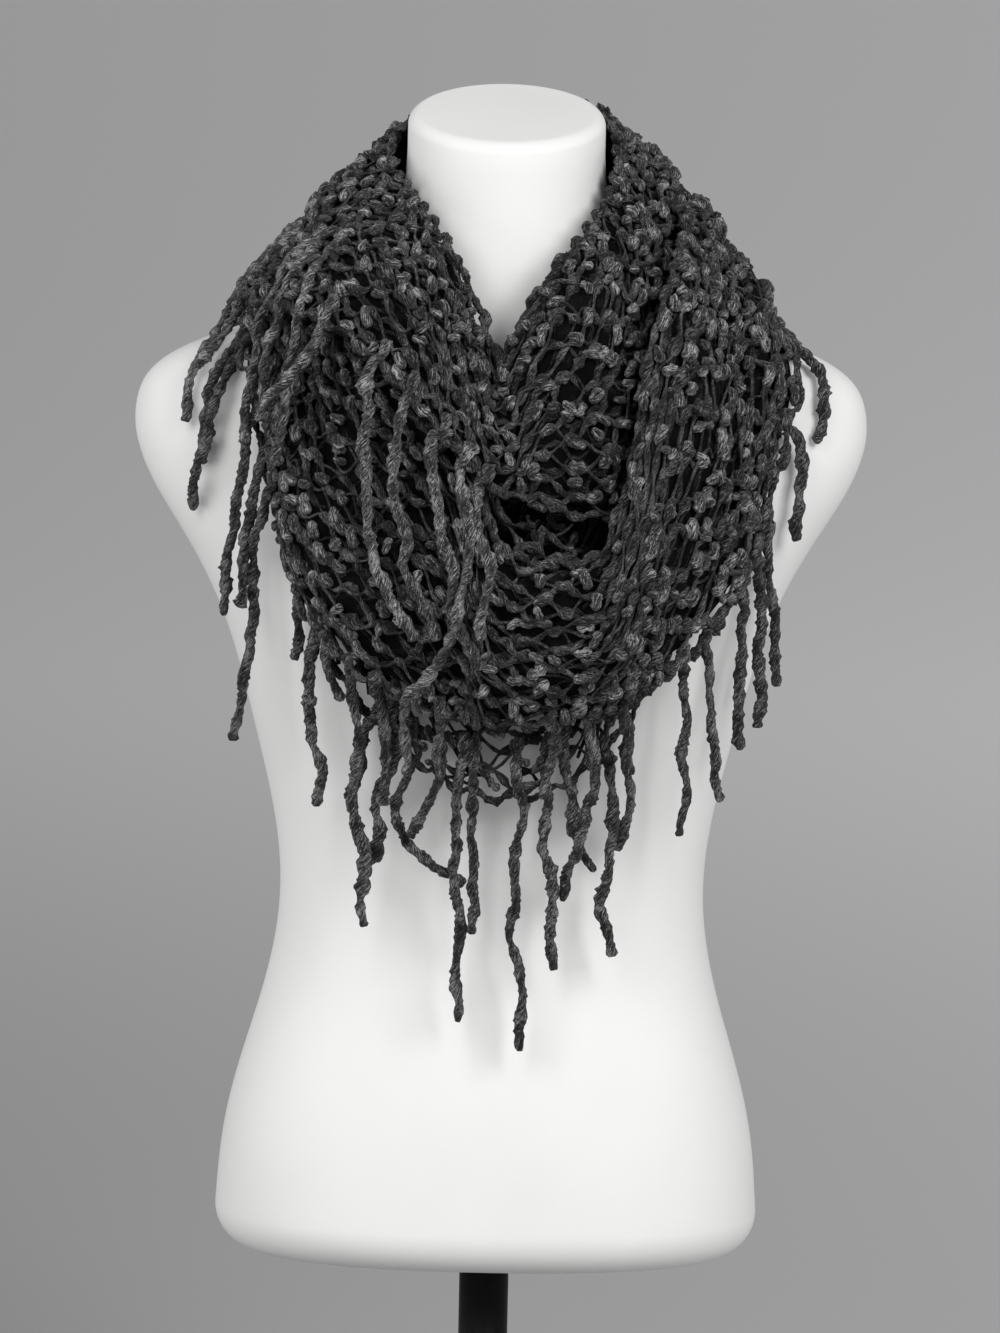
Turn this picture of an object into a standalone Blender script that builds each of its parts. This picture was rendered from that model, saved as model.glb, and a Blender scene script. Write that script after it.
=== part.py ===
"""Fringe scarf: a double-wound, open-mesh infinity scarf resting on a limbless dress form.

Frame: metres, +Z up, origin at the middle of the base's underside, the front of the form
faces -Y and the viewer's right is +X.

The form is a stack of superellipse rings. Each turn of the scarf is a wall about 5 mm
thick whose inner face runs between two edges, the top edge and the hem, given by stations
round the neck. Each face is laid over what lies beneath it, and the long turn is tucked
under the cowl on the left, as a wound loop lies. Each hem carries a narrow knitted strip
with its yarn strands.
"""

import math

import bmesh
import bpy
import numpy as np
from mathutils import Vector
from mathutils.bvhtree import BVHTree

# Stand
BASE_RADIUS = 0.145
BASE_HEIGHT = 0.009
POLE_RADIUS = 0.014
TORSO_BOTTOM = 0.220
TOUCH_GAP = 0.0003

# Dress form
CAP_HEIGHT = 0.8645
CAP_SLOPE = math.tan(math.radians(15.5))
CAP_ROUND = 0.007
SLOPE_START = 0.800
HEM_ROUND = 0.024
FORM_SIDES = 40
BUST = {"x": 0.070, "z": 0.578, "half_width": 0.046, "half_height": 0.050, "rise": 0.012}

# Rings of the form: height, half width, depth in front, depth behind, roundness exponent
FORM_RINGS = [
    (0.2440, 0.1540, 0.106, 0.110, 2.35),
    (0.2771, 0.1520, 0.105, 0.111, 2.35),
    (0.3055, 0.1470, 0.102, 0.110, 2.3),
    (0.3339, 0.1390, 0.097, 0.104, 2.3),
    (0.3624, 0.1300, 0.092, 0.096, 2.2),
    (0.3908, 0.1230, 0.088, 0.088, 2.2),
    (0.4192, 0.1195, 0.086, 0.083, 2.2),
    (0.4477, 0.1205, 0.087, 0.081, 2.2),
    (0.4761, 0.1255, 0.090, 0.082, 2.2),
    (0.5045, 0.1325, 0.094, 0.085, 2.2),
    (0.5330, 0.1400, 0.098, 0.089, 2.2),
    (0.5614, 0.1475, 0.101, 0.093, 2.2),
    (0.5898, 0.1580, 0.101, 0.097, 2.25),
    (0.6131, 0.1700, 0.099, 0.099, 2.3),
    (0.6325, 0.1820, 0.097, 0.100, 2.3),
    (0.6563, 0.1975, 0.093, 0.099, 2.3),
    (0.6774, 0.2055, 0.089, 0.096, 2.3),
    (0.6922, 0.2070, 0.085, 0.093, 2.3),
    (0.7081, 0.2045, 0.081, 0.089, 2.3),
    (0.7200, 0.1965, 0.077, 0.084, 2.3),
    (0.7310, 0.1790, 0.073, 0.079, 2.3),
    (0.7411, 0.1510, 0.070, 0.074, 2.3),
    (0.7500, 0.1260, 0.067, 0.071, 2.2),
    (0.7604, 0.1030, 0.064, 0.067, 2.1),
    (0.7775, 0.0790, 0.060, 0.062, 2.0),
    (0.8000, 0.0630, 0.057, 0.059, 2.0),
    (0.8230, 0.0562, 0.055, 0.057, 2.0),
    (0.8450, 0.0556, 0.055, 0.057, 2.0),
]

# Scarf
WALL = 0.005
CHEST_FLATNESS = 2.4
STRAND_FLATNESS = 6.0
CHEST_TOP = 0.710
NECK_BLEND = 0.080
NECK_RISE = math.radians(40)
RISE_START = 0.680
RISE_BLEND = 0.100
STEPS_BETWEEN_STATIONS = 3
COWL_STEPS = 10
OUTER_STEPS = 10
UNDER_STEPS = 6
UNDER_GAP = 0.0014
LAYER_GAP = 0.0020
TUCK_GAP = 0.0016
HEM_GAP = 0.0070
RELAX_ROUNDS = 2
FOLD_FADE = 0.25
PUFF_FULLNESS = 0.8

# A turn's stations: angle round the neck in degrees (0 front, 90 viewer's right, 180 back),
# top edge radius and height, hem radius and height, how far the cloth puffs out between
UNDER_STATIONS = [
    (0, 0.112, 0.660, 0.114, 0.492, 0.004),
    (15, 0.114, 0.670, 0.118, 0.497, 0.004),
    (30, 0.116, 0.690, 0.124, 0.520, 0.004),
    (45, 0.114, 0.720, 0.134, 0.575, 0.003),
    (57, 0.106, 0.752, 0.154, 0.650, 0.003),
    (65, 0.096, 0.770, 0.156, 0.702, 0.002),
    (74, 0.088, 0.780, 0.140, 0.747, 0.002),
    (90, 0.084, 0.784, 0.130, 0.760, 0.002),
    (120, 0.080, 0.786, 0.133, 0.742, 0.002),
    (150, 0.078, 0.786, 0.118, 0.680, 0.002),
    (180, 0.078, 0.786, 0.108, 0.655, 0.002),
    (210, 0.078, 0.786, 0.118, 0.680, 0.002),
    (240, 0.080, 0.784, 0.133, 0.742, 0.002),
    (270, 0.084, 0.780, 0.126, 0.762, 0.002),
    (287, 0.092, 0.772, 0.132, 0.750, 0.002),
    (296, 0.098, 0.760, 0.146, 0.705, 0.002),
    (304, 0.106, 0.745, 0.148, 0.650, 0.003),
    (315, 0.112, 0.715, 0.134, 0.575, 0.003),
    (330, 0.116, 0.690, 0.124, 0.530, 0.004),
    (345, 0.114, 0.670, 0.118, 0.503, 0.004),
]
COWL_STATIONS = [
    (0, 0.103, 0.729, 0.150, 0.668, 0.020),
    (9, 0.096, 0.760, 0.148, 0.659, 0.022),
    (18, 0.089, 0.783, 0.144, 0.652, 0.024),
    (29, 0.080, 0.798, 0.140, 0.656, 0.022),
    (45, 0.071, 0.814, 0.132, 0.692, 0.014),
    (62, 0.063, 0.828, 0.122, 0.742, 0.008),
    (90, 0.060, 0.845, 0.112, 0.790, 0.006),
    (118, 0.060, 0.858, 0.104, 0.806, 0.006),
    (140, 0.061, 0.866, 0.100, 0.812, 0.006),
    (165, 0.063, 0.871, 0.100, 0.812, 0.007),
    (190, 0.063, 0.871, 0.106, 0.806, 0.007),
    (212, 0.061, 0.867, 0.120, 0.788, 0.006),
    (238, 0.060, 0.857, 0.137, 0.770, 0.004),
    (262, 0.060, 0.846, 0.144, 0.761, 0.003),
    (284, 0.060, 0.834, 0.147, 0.761, 0.004),
    (303, 0.063, 0.823, 0.153, 0.760, 0.007),
    (320, 0.070, 0.812, 0.162, 0.756, 0.012),
    (333, 0.081, 0.801, 0.168, 0.744, 0.012),
    (344, 0.090, 0.782, 0.168, 0.714, 0.014),
    (352, 0.098, 0.752, 0.160, 0.686, 0.016),
]
OUTER_STATIONS = [
    (0, 0.150, 0.632, 0.136, 0.538, 0.024),
    (12, 0.155, 0.628, 0.141, 0.540, 0.024),
    (22, 0.160, 0.634, 0.147, 0.545, 0.024),
    (28, 0.162, 0.690, 0.152, 0.552, 0.024),
    (33, 0.150, 0.750, 0.156, 0.561, 0.026),
    (42, 0.131, 0.785, 0.160, 0.578, 0.026),
    (52, 0.116, 0.796, 0.164, 0.606, 0.018),
    (61, 0.108, 0.802, 0.165, 0.646, 0.011),
    (68, 0.103, 0.807, 0.164, 0.691, 0.006),
    (79, 0.100, 0.811, 0.153, 0.738, 0.003),
    (92, 0.099, 0.813, 0.147, 0.754, 0.002),
    (112, 0.101, 0.808, 0.146, 0.744, 0.004),
    (130, 0.104, 0.793, 0.144, 0.724, 0.008),
    (148, 0.102, 0.786, 0.132, 0.702, 0.010),
    (180, 0.090, 0.782, 0.122, 0.678, 0.012),
    (206, 0.088, 0.782, 0.132, 0.690, 0.010),
    (226, 0.086, 0.788, 0.142, 0.720, 0.008),
    (246, 0.086, 0.790, 0.146, 0.746, 0.006),
    (266, 0.088, 0.790, 0.140, 0.757, 0.004),
    (284, 0.094, 0.786, 0.139, 0.746, 0.004),
    (297, 0.106, 0.774, 0.136, 0.708, 0.007),
    (306, 0.118, 0.764, 0.147, 0.662, 0.010),
    (313, 0.124, 0.756, 0.152, 0.612, 0.012),
    (325, 0.131, 0.748, 0.148, 0.570, 0.014),
    (338, 0.136, 0.734, 0.141, 0.552, 0.016),
    (349, 0.139, 0.706, 0.137, 0.541, 0.018),
    (355, 0.143, 0.668, 0.136, 0.539, 0.021),
]

# Folds along a turn: angle where it starts and ends, place across the wall (0 top edge,
# 1 hem) at each end, width across, height
COWL_FOLDS = [
    (268, 352, 0.28, 0.55, 0.11, 0.006),
    (285, 370, 0.72, 0.80, 0.09, 0.006),
    (2, 62, 0.34, 0.30, 0.12, 0.010),
    (6, 50, 0.72, 0.62, 0.09, 0.007),
    (80, 200, 0.45, 0.55, 0.12, 0.006),
    (150, 280, 0.72, 0.40, 0.10, 0.006),
]
OUTER_FOLDS = [
    (-24, 40, 0.22, 0.26, 0.11, 0.007),
    (-30, 62, 0.66, 0.55, 0.10, 0.008),
    (28, 120, 0.22, 0.14, 0.10, 0.007),
    (44, 130, 0.80, 0.76, 0.10, 0.007),
    (110, 230, 0.40, 0.55, 0.12, 0.006),
    (292, 350, 0.76, 0.60, 0.18, 0.012),
    (300, 354, 0.24, 0.26, 0.14, -0.010),
]

# Fringe
STRAND_SIDE = 0.0052
STRIP_DEPTH = 0.005
STRIP_GAP = 0.0010
STRAND_STEP = 0.019
STRAND_STEPS = (3, 7)
STRAND_CLEARANCE = 0.0058
STRAND_LEAD = 0.010
STRAND_APART = 0.009
STRAND_NUDGE = 0.002
CORNER_SHARE = 0.06
SHARE_MIN = 0.03
SEARCH = 0.30
TUCK_DEPTH = 0.04
TUCK_ANGLES = (196, 359)

# Strands: angle of the root round the neck, drop, sideways drift of the tip, bow at mid length,
# how far the tip lies back
UNDER_FRONT_STRANDS = [
    (-31.0, 0.034, -0.004, 0.003, 0.0),
    (-26.0, 0.056, 0.000, 0.000, 0.0),
    (-21.0, 0.057, 0.038, -0.016, 0.0),
    (-14.0, 0.019, -0.009, 0.003, 0.0),
    (-8.1, 0.115, 0.004, 0.001, 0.0),
    (-5.1, 0.063, 0.004, 0.004, 0.0),
    (6.7, 0.126, 0.002, -0.002, 0.0),
    (14.0, 0.085, 0.003, -0.005, 0.0),
    (18.5, 0.034, 0.013, -0.005, 0.0),
    (25.0, 0.064, -0.023, -0.005, 0.0),
    (29.0, 0.105, -0.003, -0.009, 0.0),
    (33.5, 0.060, -0.013, -0.005, 0.0),
]
OUTER_FRONT_STRANDS = [
    (-43.6, 0.027, 0.000, 0.004, 0.0),
    (-40.0, 0.092, 0.010, -0.001, 0.0),
    (-36.5, 0.021, 0.012, 0.002, 0.0),
    (-32.0, 0.134, 0.013, 0.005, 0.0),
    (-26.0, 0.055, 0.008, 0.010, 0.0),
    (-19.0, 0.029, 0.001, 0.002, 0.0),
    (-12.0, 0.024, 0.002, -0.002, 0.0),
    (12.0, 0.035, -0.002, 0.002, 0.0),
    (21.0, 0.040, 0.002, 0.000, 0.0),
    (27.0, 0.031, 0.000, 0.000, 0.0),
    (38.5, 0.085, -0.002, 0.004, 0.0),
    (43.5, 0.078, 0.009, 0.002, 0.0),
]
OUTER_RIGHT_STRANDS = [
    (53.1, 0.083, -0.004, -0.002, 0.0),
    (57.0, 0.089, -0.001, 0.000, 0.0),
    (60.7, 0.086, 0.004, -0.004, 0.0),
    (67.0, 0.054, -0.010, -0.004, 0.0),
    (75.0, 0.043, -0.018, 0.003, 0.0),
]
OUTER_LEFT_STRANDS = [
    (-73.0, 0.066, 0.006, 0.004, 0.0),
    (-68.5, 0.084, -0.014, 0.006, 0.0),
    (-57.0, 0.105, -0.006, 0.002, 0.0),
    (-54.5, 0.081, -0.003, 0.003, 0.0),
    (-52.0, 0.134, -0.006, 0.003, 0.0),
]
COWL_FRONT_STRANDS = [
    (-34.5, 0.040, -0.029, -0.012, 0.010),
    (-22.5, 0.138, 0.031, -0.007, 0.0),
    (-17.0, 0.123, 0.025, -0.001, 0.0),
    (-11.0, 0.116, 0.034, 0.003, 0.0),
    (-6.8, 0.125, -0.020, 0.021, 0.0),
    (-2.5, 0.074, 0.009, 0.009, 0.0),
]
COWL_LEFT_STRANDS = [
    (-100.0, 0.037, 0.023, 0.003, 0.0),
    (-81.0, 0.059, 0.014, 0.010, 0.0),
    (-75.0, 0.034, 0.000, 0.002, 0.0),
    (-55.0, 0.064, -0.006, -0.002, 0.0),
    (-50.0, 0.049, 0.001, -0.002, 0.0),
    (-43.0, 0.073, -0.007, 0.001, 0.0),
]


def clear_scene():
    """Remove every object, so that the file builds the same model each time."""
    for existing in list(bpy.data.objects):
        bpy.data.objects.remove(existing, do_unlink=True)


def make_material(name, colour, roughness, metallic=0.0):
    """A Principled material with one colour."""
    material = bpy.data.materials.new(name)
    material.use_nodes = True
    shader = material.node_tree.nodes["Principled BSDF"]
    shader.inputs["Base Color"].default_value = (*colour, 1.0)
    shader.inputs["Roughness"].default_value = roughness
    shader.inputs["Metallic"].default_value = metallic
    return material


def stand_material(name):
    """Satin black for the pole and the base."""
    return make_material(name, (0.012, 0.012, 0.013), 0.35, 0.6)


def yarn_material(name):
    """Dull charcoal for a turn of the scarf or a run of its fringe."""
    return make_material(name, (0.040, 0.040, 0.042), 0.95)


def make_object(name, points, faces, material):
    """A named object from points and faces, shaded smooth up to 50 degrees."""
    mesh = bpy.data.meshes.new(name)
    mesh.from_pydata([tuple(map(float, point)) for point in points], [], faces)
    mesh.materials.append(material)
    shaped = bmesh.new()
    shaped.from_mesh(mesh)
    bmesh.ops.recalc_face_normals(shaped, faces=shaped.faces)
    shaped.to_mesh(mesh)
    shaped.free()
    mesh.shade_smooth()
    mesh.set_sharp_from_angle(angle=math.radians(50))
    item = bpy.data.objects.new(name, mesh)
    bpy.context.scene.collection.objects.link(item)
    return item


def tree_of(item):
    """A search tree over an object's faces."""
    return BVHTree.FromPolygons(
        [tuple(vertex.co) for vertex in item.data.vertices],
        [tuple(face.vertices) for face in item.data.polygons],
    )


def smooth_rows(rows, positions, period=None):
    """Catmull-Rom curve through table rows at row positions, closed when a period is given.

    The first column is the angle, which grows by the period each time round.
    """
    table = np.array(rows, dtype=float)
    count = len(table)
    whole = np.floor(positions).astype(int)
    part = (positions - whole)[:, None]
    near = []
    for offset in (-1, 0, 1, 2):
        index = whole + offset
        if period is None:
            near.append(table[np.clip(index, 0, count - 1)])
        else:
            row = table[index % count].copy()
            row[:, 0] += period * np.floor(index / count)
            near.append(row)
    before, start, end, after = near
    return 0.5 * (
        2 * start
        + (end - before) * part
        + (2 * before - 5 * start + 4 * end - after) * part**2
        + (3 * start - before - 3 * end + after) * part**3
    )


def smooth_step(value):
    """0 below 0, 1 above 1 and a smooth rise between."""
    value = np.clip(value, 0.0, 1.0)
    return value * value * (3 - 2 * value)


def outward(points, chest_flatness=CHEST_FLATNESS):
    """The direction away from the form at each point.

    It is level at the chest, where it follows an ellipse wider than it is deep, and turns
    up by NECK_RISE near the neck, where it follows a circle.
    """
    height = points[..., 2]
    flatness = chest_flatness + (1 - chest_flatness) * smooth_step((height - CHEST_TOP) / NECK_BLEND)
    x = points[..., 0]
    y = points[..., 1] * flatness
    reach = np.hypot(x, y)
    rise = NECK_RISE * smooth_step((height - RISE_START) / RISE_BLEND)
    level = np.cos(rise) / reach
    return np.stack([x * level, y * level, np.sin(rise)], axis=-1)


def lay_over(points, trees, gap, flatness=CHEST_FLATNESS):
    """Move points outward until they lie the gap outside every surface in the trees."""
    laid = points.reshape(-1, 3).copy()
    for index, direction in enumerate(outward(laid, flatness)):
        heading = Vector(direction)
        for tree in trees:
            start = Vector(laid[index]) + heading * SEARCH
            hit = tree.ray_cast(start, -heading, 2 * SEARCH)
            if hit[0] is not None and SEARCH - hit[3] + gap > 0:
                laid[index] += direction * (SEARCH - hit[3] + gap)
    return laid.reshape(points.shape)


def lay_cells(points, trees, gap):
    """Move a closed grid outward until the middles of its cells lie clear as well."""
    beyond = np.roll(points, -1, axis=0)
    middles = (points[:, :-1] + points[:, 1:] + beyond[:, :-1] + beyond[:, 1:]) / 4
    moves = lay_over(middles, trees, gap) - middles
    cleared = points.copy()
    size = np.linalg.norm(moves, axis=-1)
    for back in (0, 1):
        for side in (0, 1):
            moved = np.roll(moves, back, axis=0)
            longer = np.roll(size, back, axis=0)
            rows = cleared[:, side : side + moved.shape[1]]
            drawn = points[:, side : side + moved.shape[1]]
            apart = np.linalg.norm(rows - drawn, axis=-1)
            rows[:] = np.where((longer > apart)[..., None], drawn + moved, rows)
    return cleared


def tuck_under(points, trees, room):
    """Move points inward until the room given is free between them and the trees' faces."""
    tucked = points.reshape(-1, 3).copy()
    for index, direction in enumerate(outward(tucked)):
        heading = Vector(direction)
        for tree in trees:
            start = Vector(tucked[index]) - heading * TUCK_DEPTH
            hit = tree.ray_cast(start, heading, 3 * TUCK_DEPTH)
            if hit[0] is not None and hit[3] < TUCK_DEPTH + room:
                tucked[index] -= direction * (TUCK_DEPTH + room - hit[3])
    return tucked.reshape(points.shape)


def form_ring(height, width, front, back, exponent):
    """One superellipse ring of the form, with the bust's soft rise and the cap's slope."""
    turn = np.linspace(0, 2 * np.pi, FORM_SIDES, endpoint=False)
    across = np.sin(turn)
    along = np.cos(turn)
    x = width * np.sign(across) * np.abs(across) ** (2 / exponent)
    depth = np.where(along > 0, front, back)
    y = -depth * np.sign(along) * np.abs(along) ** (2 / exponent)
    rise = BUST["rise"] * np.exp(
        -(((np.abs(x) - BUST["x"]) / BUST["half_width"]) ** 2)
        - ((height - BUST["z"]) / BUST["half_height"]) ** 2
    )
    y = y - rise * np.clip(along * 2, 0, 1)
    slope = CAP_SLOPE * smooth_step((height - SLOPE_START) / (CAP_HEIGHT - SLOPE_START))
    return np.stack([x, y, height + y * slope], axis=1)


def rounded_end(ring, radius, end_height, upward):
    """Rows that close a ring over a rounded edge, towards its flat end face."""
    height, width, front, back, exponent = ring
    rows = []
    for degrees in (25, 50, 72, 90):
        angle = math.radians(degrees)
        inset = radius * (1 - math.cos(angle))
        rise = radius * (1 - math.sin(angle))
        level = end_height - rise if upward else end_height + rise
        rows.append((level, width - inset, front - inset, back - inset, exponent))
    return rows


def build_form(material):
    """The limbless torso with its neck cap, closed by flat faces above and below."""
    below = rounded_end(FORM_RINGS[0], HEM_ROUND, TORSO_BOTTOM, upward=False)
    above = rounded_end(FORM_RINGS[-1], CAP_ROUND, CAP_HEIGHT, upward=True)
    rings = [form_ring(*row) for row in list(reversed(below)) + FORM_RINGS + above]
    points = np.concatenate(rings)
    faces = []
    for level in range(len(rings) - 1):
        for side in range(FORM_SIDES):
            here = level * FORM_SIDES + side
            beside = level * FORM_SIDES + (side + 1) % FORM_SIDES
            faces.append((here, beside, beside + FORM_SIDES, here + FORM_SIDES))
    faces.append(tuple(range(FORM_SIDES)))
    faces.append(tuple(range(len(points) - FORM_SIDES, len(points))))
    return make_object("dress_form", points, faces, material)


def build_disc(name, radius, low, high, sides, material, edge=0.0):
    """An upright cylinder with its edges bevelled when an edge width is given."""
    shaped = bmesh.new()
    bmesh.ops.create_cone(
        shaped, cap_ends=True, segments=sides, radius1=radius, radius2=radius, depth=high - low
    )
    bmesh.ops.translate(shaped, verts=shaped.verts, vec=(0, 0, (low + high) / 2))
    if edge:
        rims = [line for line in shaped.edges if abs(line.verts[0].co.z - line.verts[1].co.z) < edge / 10]
        bmesh.ops.bevel(shaped, geom=rims, offset=edge, segments=1, affect="EDGES", profile=0.5)
    mesh = bpy.data.meshes.new(name)
    shaped.to_mesh(mesh)
    shaped.free()
    mesh.materials.append(material)
    mesh.shade_smooth()
    mesh.set_sharp_from_angle(angle=math.radians(35))
    item = bpy.data.objects.new(name, mesh)
    bpy.context.scene.collection.objects.link(item)
    return item


def fold_height(folds, degrees, across):
    """Soft ridges along a turn: each fades in and out and drifts across the wall."""
    total = np.zeros(np.broadcast(degrees, across).shape)
    for start, end, place_start, place_end, width, height in folds:
        along = ((degrees - start) % 360) / (end - start)
        fade = smooth_step(along / FOLD_FADE) * smooth_step((1 - along) / FOLD_FADE)
        centre = place_start + (place_end - place_start) * along
        total += height * fade * np.exp(-(((across - centre) / width) ** 2))
    return total


def turn_face(stations, folds, steps):
    """The inner face of a turn before it is laid: a grid of points, stations by steps across."""
    positions = np.arange(len(stations) * STEPS_BETWEEN_STATIONS) / STEPS_BETWEEN_STATIONS
    rows = smooth_rows(stations, positions, period=360)
    degrees, top_radius, top_height, hem_radius, hem_height, puff = (
        column[:, None] for column in rows.T
    )
    across = np.linspace(0, 1, steps + 1)[None, :]
    angle = np.radians(degrees)
    radius = top_radius + (hem_radius - top_radius) * across
    height = top_height + (hem_height - top_height) * across
    points = np.stack([radius * np.sin(angle), -radius * np.cos(angle), height], axis=-1)
    lift = puff * np.sin(np.pi * across) ** PUFF_FULLNESS + fold_height(folds, degrees, across)
    return points + outward(points) * lift[..., None]


def relax(points):
    """Move each point inside the face halfway to the mean of its four neighbours."""
    near = (
        np.roll(points, 1, axis=0)[:, 1:-1]
        + np.roll(points, -1, axis=0)[:, 1:-1]
        + points[:, 2:]
        + points[:, :-2]
    ) / 4
    relaxed = points.copy()
    relaxed[:, 1:-1] = (points[:, 1:-1] + near) / 2
    edges = (np.roll(points, 1, axis=0) + np.roll(points, -1, axis=0)) / 2
    relaxed[:, 0] = (points[:, 0] + edges[:, 0]) / 2
    relaxed[:, -1] = (points[:, -1] + edges[:, -1]) / 2
    return relaxed


def face_normals(points):
    """Outward unit normals of a grid that closes round its first axis."""
    round_step = np.roll(points, -1, axis=0) - np.roll(points, 1, axis=0)
    across_step = np.gradient(points, axis=1)
    normals = np.cross(round_step, across_step)
    normals /= np.linalg.norm(normals, axis=-1, keepdims=True)
    facing = np.sign((normals * outward(points)).sum(-1, keepdims=True))
    return normals * facing


def build_turn(name, shape, material, gap, below, above=None):
    """One turn of the scarf: a closed wall over the trees below, tucked under those above.

    The shape is its stations, folds and steps across. The tuck holds between TUCK_ANGLES, and
    elsewhere the turn lies over the trees above too. Returns the object and both faces.
    """
    inner = turn_face(*shape)
    angle = np.degrees(np.arctan2(inner[..., 0], -inner[..., 1])) % 360
    tuck = ((angle > TUCK_ANGLES[0]) & (angle < TUCK_ANGLES[1]))[..., None]
    for turn in range(RELAX_ROUNDS + 1):
        if above:
            tucked = tuck_under(inner, above, WALL + TUCK_GAP)
            inner = np.where(tuck, tucked, lay_over(inner, above, TUCK_GAP))
        inner = lay_over(inner, below, gap)
        if turn < RELAX_ROUNDS:
            inner = relax(inner)
    inner = lay_cells(inner, below, gap)
    if above:
        inner = np.where(tuck, inner, lay_cells(inner, above, TUCK_GAP))
    inner[:, -2:-1] = lay_over(inner[:, -2:-1], below, (gap + HEM_GAP) / 2)
    inner[:, -1:] = lay_over(inner[:, -1:], below, HEM_GAP)
    outer = inner + face_normals(inner) * WALL
    count, width = inner.shape[:2]
    points = np.concatenate([inner.reshape(-1, 3), outer.reshape(-1, 3)])
    shift = count * width
    faces = []
    for station in range(count):
        beyond = (station + 1) % count
        for step in range(width - 1):
            quad = (
                station * width + step,
                station * width + step + 1,
                beyond * width + step + 1,
                beyond * width + step,
            )
            faces.append(quad)
            faces.append(tuple(shift + corner for corner in reversed(quad)))
        for step in (0, width - 1):
            here = station * width + step
            there = beyond * width + step
            faces.append((here, there, there + shift, here + shift))
    item = make_object(name, points, faces, material)
    return item, inner, outer


def strand_path(root, heading, drop, drift, bow, lean, trees, placed):
    """Points of one strand: it hangs from its root, swings sideways and lies over the cloth."""
    fewest, most = STRAND_STEPS
    steps = int(np.clip(round(math.hypot(drop, drift) / STRAND_STEP), fewest, most))
    along = np.linspace(0, 1, steps + 1)[:, None]
    path = root + np.hstack(
        [
            drift * along**1.5 + bow * np.sin(np.pi * along),
            lean * along,
            -drop * along,
        ]
    )
    path += heading * STRAND_LEAD * np.clip(along * 3, 0, 1)
    path[1:] = lay_over(path[1:], trees, STRAND_CLEARANCE, STRAND_FLATNESS)
    path[1:-1] = (path[:-2] + 2 * path[1:-1] + path[2:]) / 4
    for _ in range(RELAX_ROUNDS):
        path[1:] = lay_over(path[1:], trees, STRAND_CLEARANCE, STRAND_FLATNESS)
        middles = (path[:-1] + path[1:]) / 2
        moves = lay_over(middles, trees, STRAND_CLEARANCE, STRAND_FLATNESS) - middles
        path[1:] += moves
        path[1:-1] += moves[1:]
    level = outward(path, STRAND_FLATNESS)
    if placed:
        others = np.concatenate(placed)
        for index in range(1, len(path)):
            for _ in range(6):
                if np.linalg.norm(others - path[index], axis=1).min() > STRAND_APART:
                    break
                path[index] += level[index] * STRAND_NUDGE
    return path


def dense(path):
    """The path with four points to each step, to test how far apart strands lie."""
    fine = np.linspace(0, len(path) - 1, 4 * (len(path) - 1) + 1)
    return np.stack([np.interp(fine, np.arange(len(path)), path[:, axis]) for axis in range(3)], axis=1)


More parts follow.
